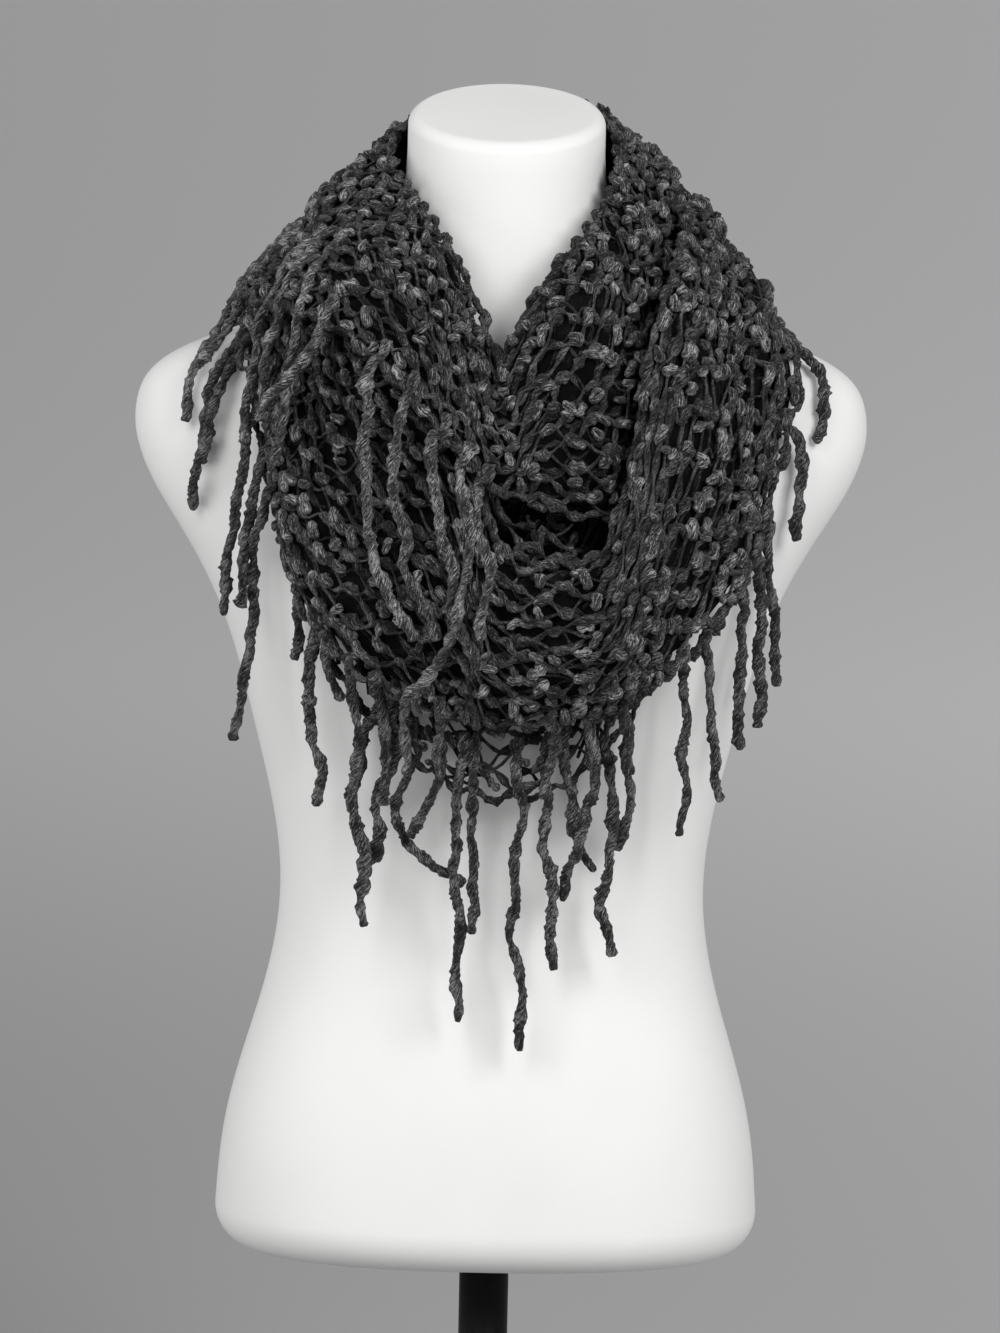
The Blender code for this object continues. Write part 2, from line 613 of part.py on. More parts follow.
def build_fringe(name, turn, strands, material, trees, placed, span):
    """A strip parted from a turn's hem, between two angles, with its strands fused to it."""
    inner, outer = turn
    count = len(inner)
    hem = np.stack([inner[:, -1], outer[:, -1]], axis=1)
    along_hem = np.roll(inner[:, -1], -1, axis=0) - np.roll(inner[:, -1], 1, axis=0)
    down = np.cross(along_hem, outer[:, -1] - inner[:, -1])
    down *= np.sign((down * (inner[:, -1] - inner[:, -3])).sum(axis=1, keepdims=True))
    down /= np.linalg.norm(down, axis=1, keepdims=True)
    angle = np.unwrap(np.arctan2(hem[:, 0, 0], -hem[:, 0, 1]))
    angle = np.degrees(angle)
    angle_round = np.concatenate([angle - 360, angle, angle + 360])
    place_round = np.arange(-count, 2 * count)
    length = np.linalg.norm(np.roll(inner[:, -1], -1, axis=0) - inner[:, -1], axis=1)

    def at(place):
        whole = math.floor(place)
        part = place - whole
        here, there = whole % count, (whole + 1) % count
        edge = hem[here] * (1 - part) + hem[there] * part
        heading = down[here] * (1 - part) + down[there] * part
        return edge + heading * STRIP_GAP, edge + heading * (STRIP_GAP + STRIP_DEPTH)

    def place_of(degrees):
        return float(np.interp(degrees, angle_round, place_round))

    roots = []
    for row in sorted(strands):
        centre = place_of(row[0])
        whole = math.floor(centre)
        half = STRAND_SIDE / 2 / length[whole % count]
        inset = half + CORNER_SHARE
        if inset < 0.5:
            centre = min(max(centre, whole + inset), whole + 1 - inset)
        roots.append((centre - half, centre + half, row))
    first, last = math.ceil(place_of(span[0])), math.floor(place_of(span[1]))
    marks = [(place, None) for place in (first, last)]
    for place in range(first + 1, last):
        if all(place < low - SHARE_MIN or place > high + SHARE_MIN for low, high, _ in roots):
            marks.append((place, None))
    for low, high, row in roots:
        marks.append((low, row))
        marks.append((high, None))
    marks.sort(key=lambda mark: mark[0])
    points = []
    faces = []
    for place, _ in marks:
        above, low_edge = at(place)
        points.extend([above[0], above[1], low_edge[1], low_edge[0]])
    for index, (_, row) in enumerate(marks[:-1]):
        a, b = 4 * index, 4 * index + 4
        faces.append((a, a + 1, b + 1, b))
        faces.append((a + 1, a + 2, b + 2, b + 1))
        faces.append((a + 3, a, b, b + 3))
        if row is None:
            faces.append((a + 2, a + 3, b + 3, b + 2))
            continue
        corners = [a + 2, b + 2, b + 3, a + 3]
        ring = np.array([points[corner] for corner in corners])
        root = ring.mean(axis=0)
        heading = ring.mean(axis=0) - np.mean([points[corner] for corner in (a, a + 1, b, b + 1)], axis=0)
        heading /= np.linalg.norm(heading)
        path = strand_path(root, heading, *row[1:], trees, placed)
        placed.append(dense(path))
        side = ring[1] - ring[0]
        for step in range(1, len(path)):
            ahead = path[min(step + 1, len(path) - 1)] - path[step - 1]
            ahead /= np.linalg.norm(ahead)
            wide = side - ahead * (side @ ahead)
            wide *= STRAND_SIDE / 2 / np.linalg.norm(wide)
            deep = np.cross(ahead, wide)
            if deep @ (ring[0] - ring[3]) < 0:
                deep = -deep
            start = len(points)
            centre = path[step]
            for across, out in ((-1, 1), (1, 1), (1, -1), (-1, -1)):
                points.append(centre + across * wide + out * deep)
            for corner in range(4):
                beside = (corner + 1) % 4
                faces.append((corners[corner], corners[beside], start + beside, start + corner))
            corners = [start, start + 1, start + 2, start + 3]
        faces.append(tuple(corners))
    faces.append((0, 1, 2, 3))
    end = 4 * (len(marks) - 1)
    faces.append((end, end + 1, end + 2, end + 3))
    return make_object(name, points, faces, material)


def hidden_strands(first, last, spacing, drop, seed):
    """Strands at even angles with uneven length and sway, for the stretches behind."""
    random = np.random.default_rng(seed)
    angles = np.arange(first, last, spacing)
    return [
        (
            float(angle + random.uniform(-0.2, 0.2) * spacing),
            float(drop * random.uniform(0.75, 1.2)),
            float(random.uniform(-0.012, 0.012)),
            float(random.uniform(-0.004, 0.004)),
            0.0,
        )
        for angle in angles
    ]


def main():
    """Build the stand, the form, the three turns and their fringe."""
    clear_scene()
    build_disc("base", BASE_RADIUS, 0.0, BASE_HEIGHT, 40, stand_material("base"), edge=0.002)
    build_disc(
        "pole", POLE_RADIUS, BASE_HEIGHT + TOUCH_GAP, TORSO_BOTTOM - TOUCH_GAP, 24, stand_material("pole")
    )
    form = tree_of(build_form(make_material("dress_form", (0.80, 0.80, 0.79), 0.75)))
    under, *under_faces = build_turn(
        "under_wrap", (UNDER_STATIONS, (), UNDER_STEPS), yarn_material("under_wrap"), UNDER_GAP, [form]
    )
    under_tree = tree_of(under)
    cowl, *cowl_faces = build_turn(
        "cowl_wrap", (COWL_STATIONS, COWL_FOLDS, COWL_STEPS), yarn_material("cowl_wrap"), LAYER_GAP,
        [form, under_tree],
    )
    cowl_tree = tree_of(cowl)
    outer, *outer_faces = build_turn(
        "outer_wrap", (OUTER_STATIONS, OUTER_FOLDS, OUTER_STEPS), yarn_material("outer_wrap"), LAYER_GAP,
        [form, under_tree], above=[cowl_tree],
    )
    behind = [form, under_tree, cowl_tree]
    over = behind + [tree_of(outer)]
    placed = []
    for name, faces, strands, span, trees in (
        ("fringe_under_front", under_faces, UNDER_FRONT_STRANDS, (-36, 38), over),
        ("fringe_outer_front", outer_faces, OUTER_FRONT_STRANDS, (-50, 48), over),
        ("fringe_outer_right", outer_faces, OUTER_RIGHT_STRANDS, (49, 79), over),
        ("fringe_outer_left", outer_faces, OUTER_LEFT_STRANDS, (-84, -51), behind),
        ("fringe_cowl_left", cowl_faces, COWL_LEFT_STRANDS, (-105, -39), over),
        ("fringe_cowl_front", cowl_faces, COWL_FRONT_STRANDS, (-38, 1), over),
        ("fringe_outer_back", outer_faces, hidden_strands(109, 252, 9.0, 0.085, 11), (99, 256), over),
        ("fringe_cowl_back", cowl_faces, hidden_strands(148, 224, 9.0, 0.050, 12), (144, 226), over),
    ):
        build_fringe(name, faces, strands, yarn_material(name), trees, placed, span)


main()
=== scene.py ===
"""Fringe scarf on a dress form: knits, hangs and finishes every piece round the fixed frame.

The file is laid out as an add-on. Sizes and colours are property groups, each piece or group of
like pieces is an operator, and a panel in the 3D view's sidebar lists them.
"""

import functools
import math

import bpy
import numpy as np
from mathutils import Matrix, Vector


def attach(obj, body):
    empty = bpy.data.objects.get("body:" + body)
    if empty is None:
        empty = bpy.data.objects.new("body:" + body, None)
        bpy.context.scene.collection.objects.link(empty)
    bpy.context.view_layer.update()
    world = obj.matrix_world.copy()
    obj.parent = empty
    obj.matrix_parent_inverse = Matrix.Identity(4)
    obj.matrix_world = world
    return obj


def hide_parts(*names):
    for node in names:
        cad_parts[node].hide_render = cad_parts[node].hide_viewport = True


bl_info = {
    "name": "Fringe Scarf on Dress Form",
    "version": (1, 0, 0),
    "blender": (4, 5, 0),
    "location": "View3D > Sidebar > Scarf",
    "description": "A wound open-mesh scarf with yarn fringe on a matt white form",
    "category": "Object",
}

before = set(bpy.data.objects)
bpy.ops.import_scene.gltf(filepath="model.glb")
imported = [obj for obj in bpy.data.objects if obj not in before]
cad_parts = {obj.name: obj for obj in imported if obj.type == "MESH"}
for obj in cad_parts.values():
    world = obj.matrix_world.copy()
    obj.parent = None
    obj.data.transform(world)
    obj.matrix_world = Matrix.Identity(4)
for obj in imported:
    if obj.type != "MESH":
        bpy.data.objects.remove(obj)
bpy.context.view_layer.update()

FULL_TURN = 2 * np.pi

# Stand
BASE_RADIUS = 0.145
BASE_HEIGHT = 0.009
POLE_RADIUS = 0.014
TORSO_BOTTOM = 0.220
TOUCH_GAP = 0.0003

# Dress form
CAP_HEIGHT = 0.8645
CAP_SLOPE = math.tan(math.radians(15.5))
CAP_ROUND = 0.007
SLOPE_START = 0.800
HEM_ROUND = 0.024
BUST = {"x": 0.070, "z": 0.578, "half_width": 0.046, "half_height": 0.050, "rise": 0.012}

# Rings of the form: height, half width, depth in front, depth behind, roundness exponent
FORM_RINGS = [
    (0.2440, 0.1540, 0.106, 0.110, 2.35),
    (0.2771, 0.1520, 0.105, 0.111, 2.35),
    (0.3055, 0.1470, 0.102, 0.110, 2.3),
    (0.3339, 0.1390, 0.097, 0.104, 2.3),
    (0.3624, 0.1300, 0.092, 0.096, 2.2),
    (0.3908, 0.1230, 0.088, 0.088, 2.2),
    (0.4192, 0.1195, 0.086, 0.083, 2.2),
    (0.4477, 0.1205, 0.087, 0.081, 2.2),
    (0.4761, 0.1255, 0.090, 0.082, 2.2),
    (0.5045, 0.1325, 0.094, 0.085, 2.2),
    (0.5330, 0.1400, 0.098, 0.089, 2.2),
    (0.5614, 0.1475, 0.101, 0.093, 2.2),
    (0.5898, 0.1580, 0.101, 0.097, 2.25),
    (0.6131, 0.1700, 0.099, 0.099, 2.3),
    (0.6325, 0.1820, 0.097, 0.100, 2.3),
    (0.6563, 0.1975, 0.093, 0.099, 2.3),
    (0.6774, 0.2055, 0.089, 0.096, 2.3),
    (0.6922, 0.2070, 0.085, 0.093, 2.3),
    (0.7081, 0.2045, 0.081, 0.089, 2.3),
    (0.7200, 0.1965, 0.077, 0.084, 2.3),
    (0.7310, 0.1790, 0.073, 0.079, 2.3),
    (0.7411, 0.1510, 0.070, 0.074, 2.3),
    (0.7500, 0.1260, 0.067, 0.071, 2.2),
    (0.7604, 0.1030, 0.064, 0.067, 2.1),
    (0.7775, 0.0790, 0.060, 0.062, 2.0),
    (0.8000, 0.0630, 0.057, 0.059, 2.0),
    (0.8230, 0.0562, 0.055, 0.057, 2.0),
    (0.8450, 0.0556, 0.055, 0.057, 2.0),
]

# Scarf
WALL = 0.005
CHEST_FLATNESS = 2.4
STRAND_FLATNESS = 6.0
CHEST_TOP = 0.710
NECK_BLEND = 0.080
NECK_RISE = math.radians(40)
RISE_START = 0.680
RISE_BLEND = 0.100
STEPS_BETWEEN_STATIONS = 3
COWL_STEPS = 10
OUTER_STEPS = 10
UNDER_STEPS = 6
UNDER_GAP = 0.0014
LAYER_GAP = 0.0020
TUCK_GAP = 0.0016
HEM_GAP = 0.0070
RELAX_ROUNDS = 2
FOLD_FADE = 0.25
PUFF_FULLNESS = 0.8

# A turn's stations: angle round the neck in degrees (0 front, 90 viewer's right, 180 back),
# top edge radius and height, hem radius and height, how far the cloth puffs out between
UNDER_STATIONS = [
    (0, 0.112, 0.660, 0.114, 0.492, 0.004),
    (15, 0.114, 0.670, 0.118, 0.497, 0.004),
    (30, 0.116, 0.690, 0.124, 0.520, 0.004),
    (45, 0.114, 0.720, 0.134, 0.575, 0.003),
    (57, 0.106, 0.752, 0.154, 0.650, 0.003),
    (65, 0.096, 0.770, 0.156, 0.702, 0.002),
    (74, 0.088, 0.780, 0.140, 0.747, 0.002),
    (90, 0.084, 0.784, 0.130, 0.760, 0.002),
    (120, 0.080, 0.786, 0.133, 0.742, 0.002),
    (150, 0.078, 0.786, 0.118, 0.680, 0.002),
    (180, 0.078, 0.786, 0.108, 0.655, 0.002),
    (210, 0.078, 0.786, 0.118, 0.680, 0.002),
    (240, 0.080, 0.784, 0.133, 0.742, 0.002),
    (270, 0.084, 0.780, 0.126, 0.762, 0.002),
    (287, 0.092, 0.772, 0.132, 0.750, 0.002),
    (296, 0.098, 0.760, 0.146, 0.705, 0.002),
    (304, 0.106, 0.745, 0.148, 0.650, 0.003),
    (315, 0.112, 0.715, 0.134, 0.575, 0.003),
    (330, 0.116, 0.690, 0.124, 0.530, 0.004),
    (345, 0.114, 0.670, 0.118, 0.503, 0.004),
]
COWL_STATIONS = [
    (0, 0.103, 0.729, 0.150, 0.668, 0.020),
    (9, 0.096, 0.760, 0.148, 0.659, 0.022),
    (18, 0.089, 0.783, 0.144, 0.652, 0.024),
    (29, 0.080, 0.798, 0.140, 0.656, 0.022),
    (45, 0.071, 0.814, 0.132, 0.692, 0.014),
    (62, 0.063, 0.828, 0.122, 0.742, 0.008),
    (90, 0.060, 0.845, 0.112, 0.790, 0.006),
    (118, 0.060, 0.858, 0.104, 0.806, 0.006),
    (140, 0.061, 0.866, 0.100, 0.812, 0.006),
    (165, 0.063, 0.871, 0.100, 0.812, 0.007),
    (190, 0.063, 0.871, 0.106, 0.806, 0.007),
    (212, 0.061, 0.867, 0.120, 0.788, 0.006),
    (238, 0.060, 0.857, 0.137, 0.770, 0.004),
    (262, 0.060, 0.846, 0.144, 0.761, 0.003),
    (284, 0.060, 0.834, 0.147, 0.761, 0.004),
    (303, 0.063, 0.823, 0.153, 0.760, 0.007),
    (320, 0.070, 0.812, 0.162, 0.756, 0.012),
    (333, 0.081, 0.801, 0.168, 0.744, 0.012),
    (344, 0.090, 0.782, 0.168, 0.714, 0.014),
    (352, 0.098, 0.752, 0.160, 0.686, 0.016),
]
OUTER_STATIONS = [
    (0, 0.150, 0.632, 0.136, 0.538, 0.024),
    (12, 0.155, 0.628, 0.141, 0.540, 0.024),
    (22, 0.160, 0.634, 0.147, 0.545, 0.024),
    (28, 0.162, 0.690, 0.152, 0.552, 0.024),
    (33, 0.150, 0.750, 0.156, 0.561, 0.026),
    (42, 0.131, 0.785, 0.160, 0.578, 0.026),
    (52, 0.116, 0.796, 0.164, 0.606, 0.018),
    (61, 0.108, 0.802, 0.165, 0.646, 0.011),
    (68, 0.103, 0.807, 0.164, 0.691, 0.006),
    (79, 0.100, 0.811, 0.153, 0.738, 0.003),
    (92, 0.099, 0.813, 0.147, 0.754, 0.002),
    (112, 0.101, 0.808, 0.146, 0.744, 0.004),
    (130, 0.104, 0.793, 0.144, 0.724, 0.008),
    (148, 0.102, 0.786, 0.132, 0.702, 0.010),
    (180, 0.090, 0.782, 0.122, 0.678, 0.012),
    (206, 0.088, 0.782, 0.132, 0.690, 0.010),
    (226, 0.086, 0.788, 0.142, 0.720, 0.008),
    (246, 0.086, 0.790, 0.146, 0.746, 0.006),
    (266, 0.088, 0.790, 0.140, 0.757, 0.004),
    (284, 0.094, 0.786, 0.139, 0.746, 0.004),
    (297, 0.106, 0.774, 0.136, 0.708, 0.007),
    (306, 0.118, 0.764, 0.147, 0.662, 0.010),
    (313, 0.124, 0.756, 0.152, 0.612, 0.012),
    (325, 0.131, 0.748, 0.148, 0.570, 0.014),
    (338, 0.136, 0.734, 0.141, 0.552, 0.016),
    (349, 0.139, 0.706, 0.137, 0.541, 0.018),
    (355, 0.143, 0.668, 0.136, 0.539, 0.021),
]

# Folds along a turn: angle where it starts and ends, place across the wall (0 top edge,
# 1 hem) at each end, width across, height
COWL_FOLDS = [
    (268, 352, 0.28, 0.55, 0.11, 0.006),
    (285, 370, 0.72, 0.80, 0.09, 0.006),
    (2, 62, 0.34, 0.30, 0.12, 0.010),
    (6, 50, 0.72, 0.62, 0.09, 0.007),
    (80, 200, 0.45, 0.55, 0.12, 0.006),
    (150, 280, 0.72, 0.40, 0.10, 0.006),
]
OUTER_FOLDS = [
    (-24, 40, 0.22, 0.26, 0.11, 0.007),
    (-30, 62, 0.66, 0.55, 0.10, 0.008),
    (28, 120, 0.22, 0.14, 0.10, 0.007),
    (44, 130, 0.80, 0.76, 0.10, 0.007),
    (110, 230, 0.40, 0.55, 0.12, 0.006),
    (292, 350, 0.76, 0.60, 0.18, 0.012),
    (300, 354, 0.24, 0.26, 0.14, -0.010),
]

# Fringe
STRIP_DEPTH = 0.005
STRIP_GAP = 0.0010
STRAND_STEP = 0.019
STRAND_STEPS = (3, 7)
STRAND_CLEARANCE = 0.0058
STRAND_LEAD = 0.010
STRAND_APART = 0.009
STRAND_NUDGE = 0.002
SEARCH = 0.30
TUCK_DEPTH = 0.04
TUCK_ANGLES = (196, 359)

# Strands: angle of the root round the neck, drop, sideways drift of the tip, bow at mid length,
# and, if it isn't 0, how far the tip lies back. A program fitted most rows to the strands' ends.
UNDER_FRONT_STRANDS = [
    (-31.0, 0.034, -0.004, 0.003),
    (-26.0, 0.056, 0.000, 0.000),
    (-21.0, 0.057, 0.038, -0.016),
    (-14.0, 0.019, -0.009, 0.003),
    (-8.1, 0.115, 0.004, 0.001),
    (-5.1, 0.063, 0.004, 0.004),
    (6.7, 0.126, 0.002, -0.002),
    (14.0, 0.085, 0.003, -0.005),
    (18.5, 0.034, 0.013, -0.005),
    (25.0, 0.064, -0.023, -0.005),
    (29.0, 0.105, -0.003, -0.009),
    (33.5, 0.060, -0.013, -0.005),
]
OUTER_FRONT_STRANDS = [
    (-43.6, 0.027, 0.000, 0.004),
    (-40.0, 0.092, 0.010, -0.001),
    (-36.5, 0.021, 0.012, 0.002),
    (-32.0, 0.134, 0.013, 0.005),
    (-26.0, 0.055, 0.008, 0.010),
    (-19.0, 0.029, 0.001, 0.002),
    (-12.0, 0.024, 0.002, -0.002),
    (12.0, 0.035, -0.002, 0.002),
    (21.0, 0.040, 0.002, 0.000),
    (27.0, 0.031, 0.000, 0.000),
    (38.5, 0.085, -0.002, 0.004),
    (43.5, 0.078, 0.009, 0.002),
]
OUTER_RIGHT_STRANDS = [
    (53.1, 0.083, -0.004, -0.002),
    (57.0, 0.089, -0.001, 0.000),
    (60.7, 0.086, 0.004, -0.004),
    (67.0, 0.054, -0.010, -0.004),
    (75.0, 0.043, -0.018, 0.003),
]
OUTER_LEFT_STRANDS = [
    (-73.0, 0.066, 0.006, 0.004),
    (-68.5, 0.084, -0.014, 0.006),
    (-57.0, 0.105, -0.006, 0.002),
    (-54.5, 0.081, -0.003, 0.003),
    (-52.0, 0.134, -0.006, 0.003),
]
COWL_FRONT_STRANDS = [
    (-34.5, 0.040, -0.029, -0.012, 0.010),
    (-22.5, 0.138, 0.031, -0.007),
    (-17.0, 0.123, 0.025, -0.001),
    (-11.0, 0.116, 0.034, 0.003),
    (-6.8, 0.125, -0.020, 0.021),
    (-2.5, 0.074, 0.009, 0.009),
]
COWL_LEFT_STRANDS = [
    (-100.0, 0.037, 0.023, 0.003),
    (-81.0, 0.059, 0.014, 0.010),
    (-75.0, 0.034, 0.000, 0.002),
    (-55.0, 0.064, -0.006, -0.002),
    (-50.0, 0.049, 0.001, -0.002),
    (-43.0, 0.073, -0.007, 0.001),
]

# Runs of fringe: node, turn, strands and how far up the knit their yarn starts
FRINGE_RUNS = [
    ("fringe_under_front", "under", UNDER_FRONT_STRANDS, 0.030),
    ("fringe_outer_front", "outer", OUTER_FRONT_STRANDS, 0.010),
    ("fringe_outer_right", "outer", OUTER_RIGHT_STRANDS, 0.012),
    ("fringe_outer_left", "outer", OUTER_LEFT_STRANDS, 0.012),
    ("fringe_cowl_left", "cowl", COWL_LEFT_STRANDS, 0.045),
    ("fringe_cowl_front", "cowl", COWL_FRONT_STRANDS, 0.014),
]
# Runs behind: node, turn, (first and last root, spacing, usual drop, seed) and start
HIDDEN_RUNS = [
    ("fringe_outer_back", "outer", (109, 252, 9.0, 0.085, 11), 0.012),
    ("fringe_cowl_back", "cowl", (148, 224, 9.0, 0.050, 12), 0.012),
]

# Yarn
YARN_ROUGH = 0.15
OWN_STRETCH = 0.37
NUB_POINTS = 7
NUB_SIDES = 7
NUB_TWIST = 110.0
NUB_LIFT = 0.0006
NUB_ARCH = 0.0016
NUB_TURN = 0.9
NUB_END = 0.985
NUB_BEND = 0.22
PLY_THICKNESS = 0.0008
PLY_HEIGHT = 0.0004
PLY_RIB = 0.0008
PLY_PITCH = 0.009
PLY_SPACING = 0.0035
EDGE_SHARES = (0.04, 1.0)
EDGE_LUMP = 0.36
CORD_HEIGHT = 0.0062
CORD_SPACING = 0.0016
CORD_LOBES = 0.15
CORD_WOBBLE = 0.0019
CORD_LEAD_STEP = 0.012
CORD_TIP = 0.004
WOBBLE_START = 0.020
FINE_WALK = 2401
WIDTH_SAMPLES = 40

# How each turn is knitted: courses across, yarn, jitter, crossings, where its plies lie, a painted shade
# factor that darkens its yarn, and its seed
OPEN_KNIT = {
    "detail": 9, "sides": 7, "missed": 0.12, "slack": 0.12, "hook": 0.12, "evenness": 0.3,
    "patch": 5, "drift": 0.30, "billow": 0.0012, "uneven": 0.0007, "bow": 0.12,
    "sway_along": 0.20, "sway_across": 0.18, "bulge": 0.04, "height": 0.0036, "cross": 0.0015,
    "lump": 0.0034, "lump_spread": (0.70, 1.22), "plain": 0.10, "between": 0.45, "thin": 0.0009,
    "lump_length": 0.0038, "closest": 0.0068, "full_pitch": 0.010, "tight": 0.80, "first": 0.55,
    "above": 0, "painted_shading": 1.0, "edges": (0.03, 1.0), "open": (0.03, 0.0, 0.0), "twist": 230.0,
    "lobes": 0.14, "between_spread": (0.55, 0.95), "between_at": (0.3, 0.7), "long": (0.75, 1.35),
    "nub_step": 0.0142, "nub_row": 0.0122, "nub_missed": 0.18, "nub_half": 0.0040,
    "nub_spread": (0.74, 1.06), "edge_pitch": 0.0105, "edge_swing": 0.0022, "edge_thin": 0.0013,
}
KNIT_PLANS = {
    "cowl": dict(OPEN_KNIT, rows=18, first=0.6, shares=(0.05, 0.96), seed=32),
    "outer": dict(
        OPEN_KNIT, rows=22, above=5, open=(-0.20, -12.0, 27.0), shares=(0.035, 0.96), seed=33
    ),
    # Painted shade: the under turn's yarn, and the cords of most fringe runs, are painted darker at 0.62
    # for yarn lying low under the top light.
    "under": dict(
        OPEN_KNIT, rows=13, lump=0.0030, plain=0.20, missed=0.14, detail=8, sides=6,
        closest=0.0070, nub_missed=0.30, painted_shading=0.62, shares=(0.03, 0.74), seed=31,
    ),
}
DEEP_KNIT = {
    "detail": 6, "sides": 5, "height": 0.0008, "cross": 0.0006, "lump": 0.0024, "thin": 0.0011,
    "first": 0.05, "above": 0, "missed": 0.05, "edges": (0.03, 0.97), "open": (0.03, 0.0, 0.0),
    "lobes": 0.0, "billow": 0.0,
}

# Finishes and studio
MARL_STOPS = (0.43, 0.53, 0.66)
MARL_PATCHES = 0.42
# Floor: a painted shadow round the stand, painted light towards the right and a painted glow of its own
# colour
FLOOR_PAINTED_GLOW = 0.13
FLOOR_SHADOW_NEAR = 0.52
FLOOR_START = 0.6
FLOOR_FADE = 5.0
FLOOR_LIGHT_LEAN = 0.19
FLOOR_SIDE = 0.2
FLOOR_REACH = 90.0
FLOOR_LEVEL = -0.0003
FORM_INSET = 0.998
STAND_SIDES = 96
BASE_EDGES = (0.0008, 0.0035)
SENSOR_WIDTH = 36.0

# Lights: place, size and which of the studio's powers each has
LIGHTS = {
    "key_light": ((1.9, -2.5, 2.3), 1.7, "key_energy"),
    "fill_light": ((-1.4, -2.7, 2.2), 1.9, "fill_energy"),
    "side_light": ((-2.6, -0.6, 0.8), 1.6, "side_energy"),
}


def smooth_step(value):
    """0 below 0, 1 above 1 and 3v^2 - 2v^3 between."""
    value = np.clip(value, 0.0, 1.0)
    return value * value * (3 - 2 * value)


def catmull_weights(part):
    """Catmull-Rom weights of four neighbouring rows, for a place this far from the second."""
    return (
        0.5 * (-part + 2 * part**2 - part**3),
        0.5 * (2 - 5 * part**2 + 3 * part**3),
        0.5 * (part + 4 * part**2 - 3 * part**3),
        0.5 * (part**3 - part**2),
    )


def catmull_patch(grid, column, row, part_round, part_across):
    """Catmull-Rom blend of a grid of vectors that closes round its first axis."""
    weights_round = catmull_weights(part_round)
    weights_across = catmull_weights(part_across)
    total = 0
    for i in range(4):
        for j in range(4):
            near = grid[(column + i - 1) % len(grid), row + j]
            total = total + (weights_round[i] * weights_across[j])[..., None] * near
    return total


def smooth_stations(rows, steps):
    """Stations round the neck with more between them, on one closed Catmull-Rom curve.

    The first column is the angle, which grows by 360 each time round.
    """
    table = np.array(rows, dtype=float)
    count = len(table)
    places = np.arange(count * steps) / steps
    whole = np.floor(places).astype(int)
    total = 0
    for offset, weight in zip((-1, 0, 1, 2), catmull_weights((places - whole)[:, None])):
        index = whole + offset
        near = table[index % count]
        near[:, 0] += 360 * np.floor(index / count)
        total = total + weight * near
    return total


def outward(points, chest_flatness=CHEST_FLATNESS):
    """The direction away from the form: from an ellipse wider than deep at the chest, turning
    up by NECK_RISE near the neck, where it comes from a circle."""
    height = points[..., 2]
    flatness = chest_flatness + (1 - chest_flatness) * smooth_step((height - CHEST_TOP) / NECK_BLEND)
    x = points[..., 0]
    y = points[..., 1] * flatness
    rise = NECK_RISE * smooth_step((height - RISE_START) / RISE_BLEND)
    level = np.cos(rise) / np.hypot(x, y)
    return np.stack([x * level, y * level, np.sin(rise)], axis=-1)


def walls_of(node):
    """A node's triangles as first corner, two sides, middle and reach, for casting rays at."""
    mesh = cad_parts[node].data
    mesh.calc_loop_triangles()
    places = np.empty(len(mesh.vertices) * 3)
    mesh.vertices.foreach_get("co", places)
    corners = np.empty(len(mesh.loop_triangles) * 3, dtype=np.int32)
    mesh.loop_triangles.foreach_get("vertices", corners)
    triangles = places.reshape(-1, 3)[corners.reshape(-1, 3)]
    middle = triangles.mean(axis=1)
    reach = np.linalg.norm(triangles - middle[:, None], axis=2).max(axis=1)
    first = triangles[:, 0]
    return first, triangles[:, 1] - first, triangles[:, 2] - first, middle, reach


def cast(starts, headings, walls):
    """Distance along each ray to the nearest triangle, infinite where it meets none.

    Start + t heading = corner + u side + v other side is solved for each pair of a ray and a
    triangle whose middle lies within reach of the ray's line.
    """
    first, side, other, middle, reach = walls
    ahead = headings @ middle.T - (headings * starts).sum(axis=1, keepdims=True)
    away = (
        (middle**2).sum(axis=1)
        + (starts**2).sum(axis=1, keepdims=True)
        - 2 * starts @ middle.T
        - ahead**2
    )
    ray, face = np.nonzero(away <= reach**2 + 1e-9)
    across = np.cross(headings[ray], other[face])
    shape = (side[face] * across).sum(axis=1)
    shape[np.abs(shape) < 1e-15] = np.nan
    offset = starts[ray] - first[face]
    u = (offset * across).sum(axis=1) / shape
    turned = np.cross(offset, side[face])
    v = (headings[ray] * turned).sum(axis=1) / shape
    t = (other[face] * turned).sum(axis=1) / shape
    met = (u >= -1e-7) & (v >= -1e-7) & (u + v <= 1 + 1e-7) & (t > 0)
    distance = np.full(len(starts), np.inf)
    np.minimum.at(distance, ray[met], t[met])
    return distance


def lay_over(points, walls, gap, flatness=CHEST_FLATNESS):
    """Move points outward until they lie the gap outside each of the walls."""
    laid = points.reshape(-1, 3).copy()
    direction = outward(laid, flatness)
    for wall in walls:
        distance = cast(laid + direction * SEARCH, -direction, wall)
        move = np.where(distance < 2 * SEARCH, SEARCH - distance + gap, 0)
        laid += direction * np.clip(move, 0, None)[:, None]
    return laid.reshape(points.shape)


def tuck_under(points, walls, room):
    """Move points inward until the room given is free between them and each of the walls."""
    tucked = points.reshape(-1, 3).copy()
    direction = outward(tucked)
    for wall in walls:
        distance = cast(tucked - direction * TUCK_DEPTH, direction, wall)
        move = np.where(distance < 3 * TUCK_DEPTH, TUCK_DEPTH + room - distance, 0)
        tucked -= direction * np.clip(move, 0, None)[:, None]
    return tucked.reshape(points.shape)


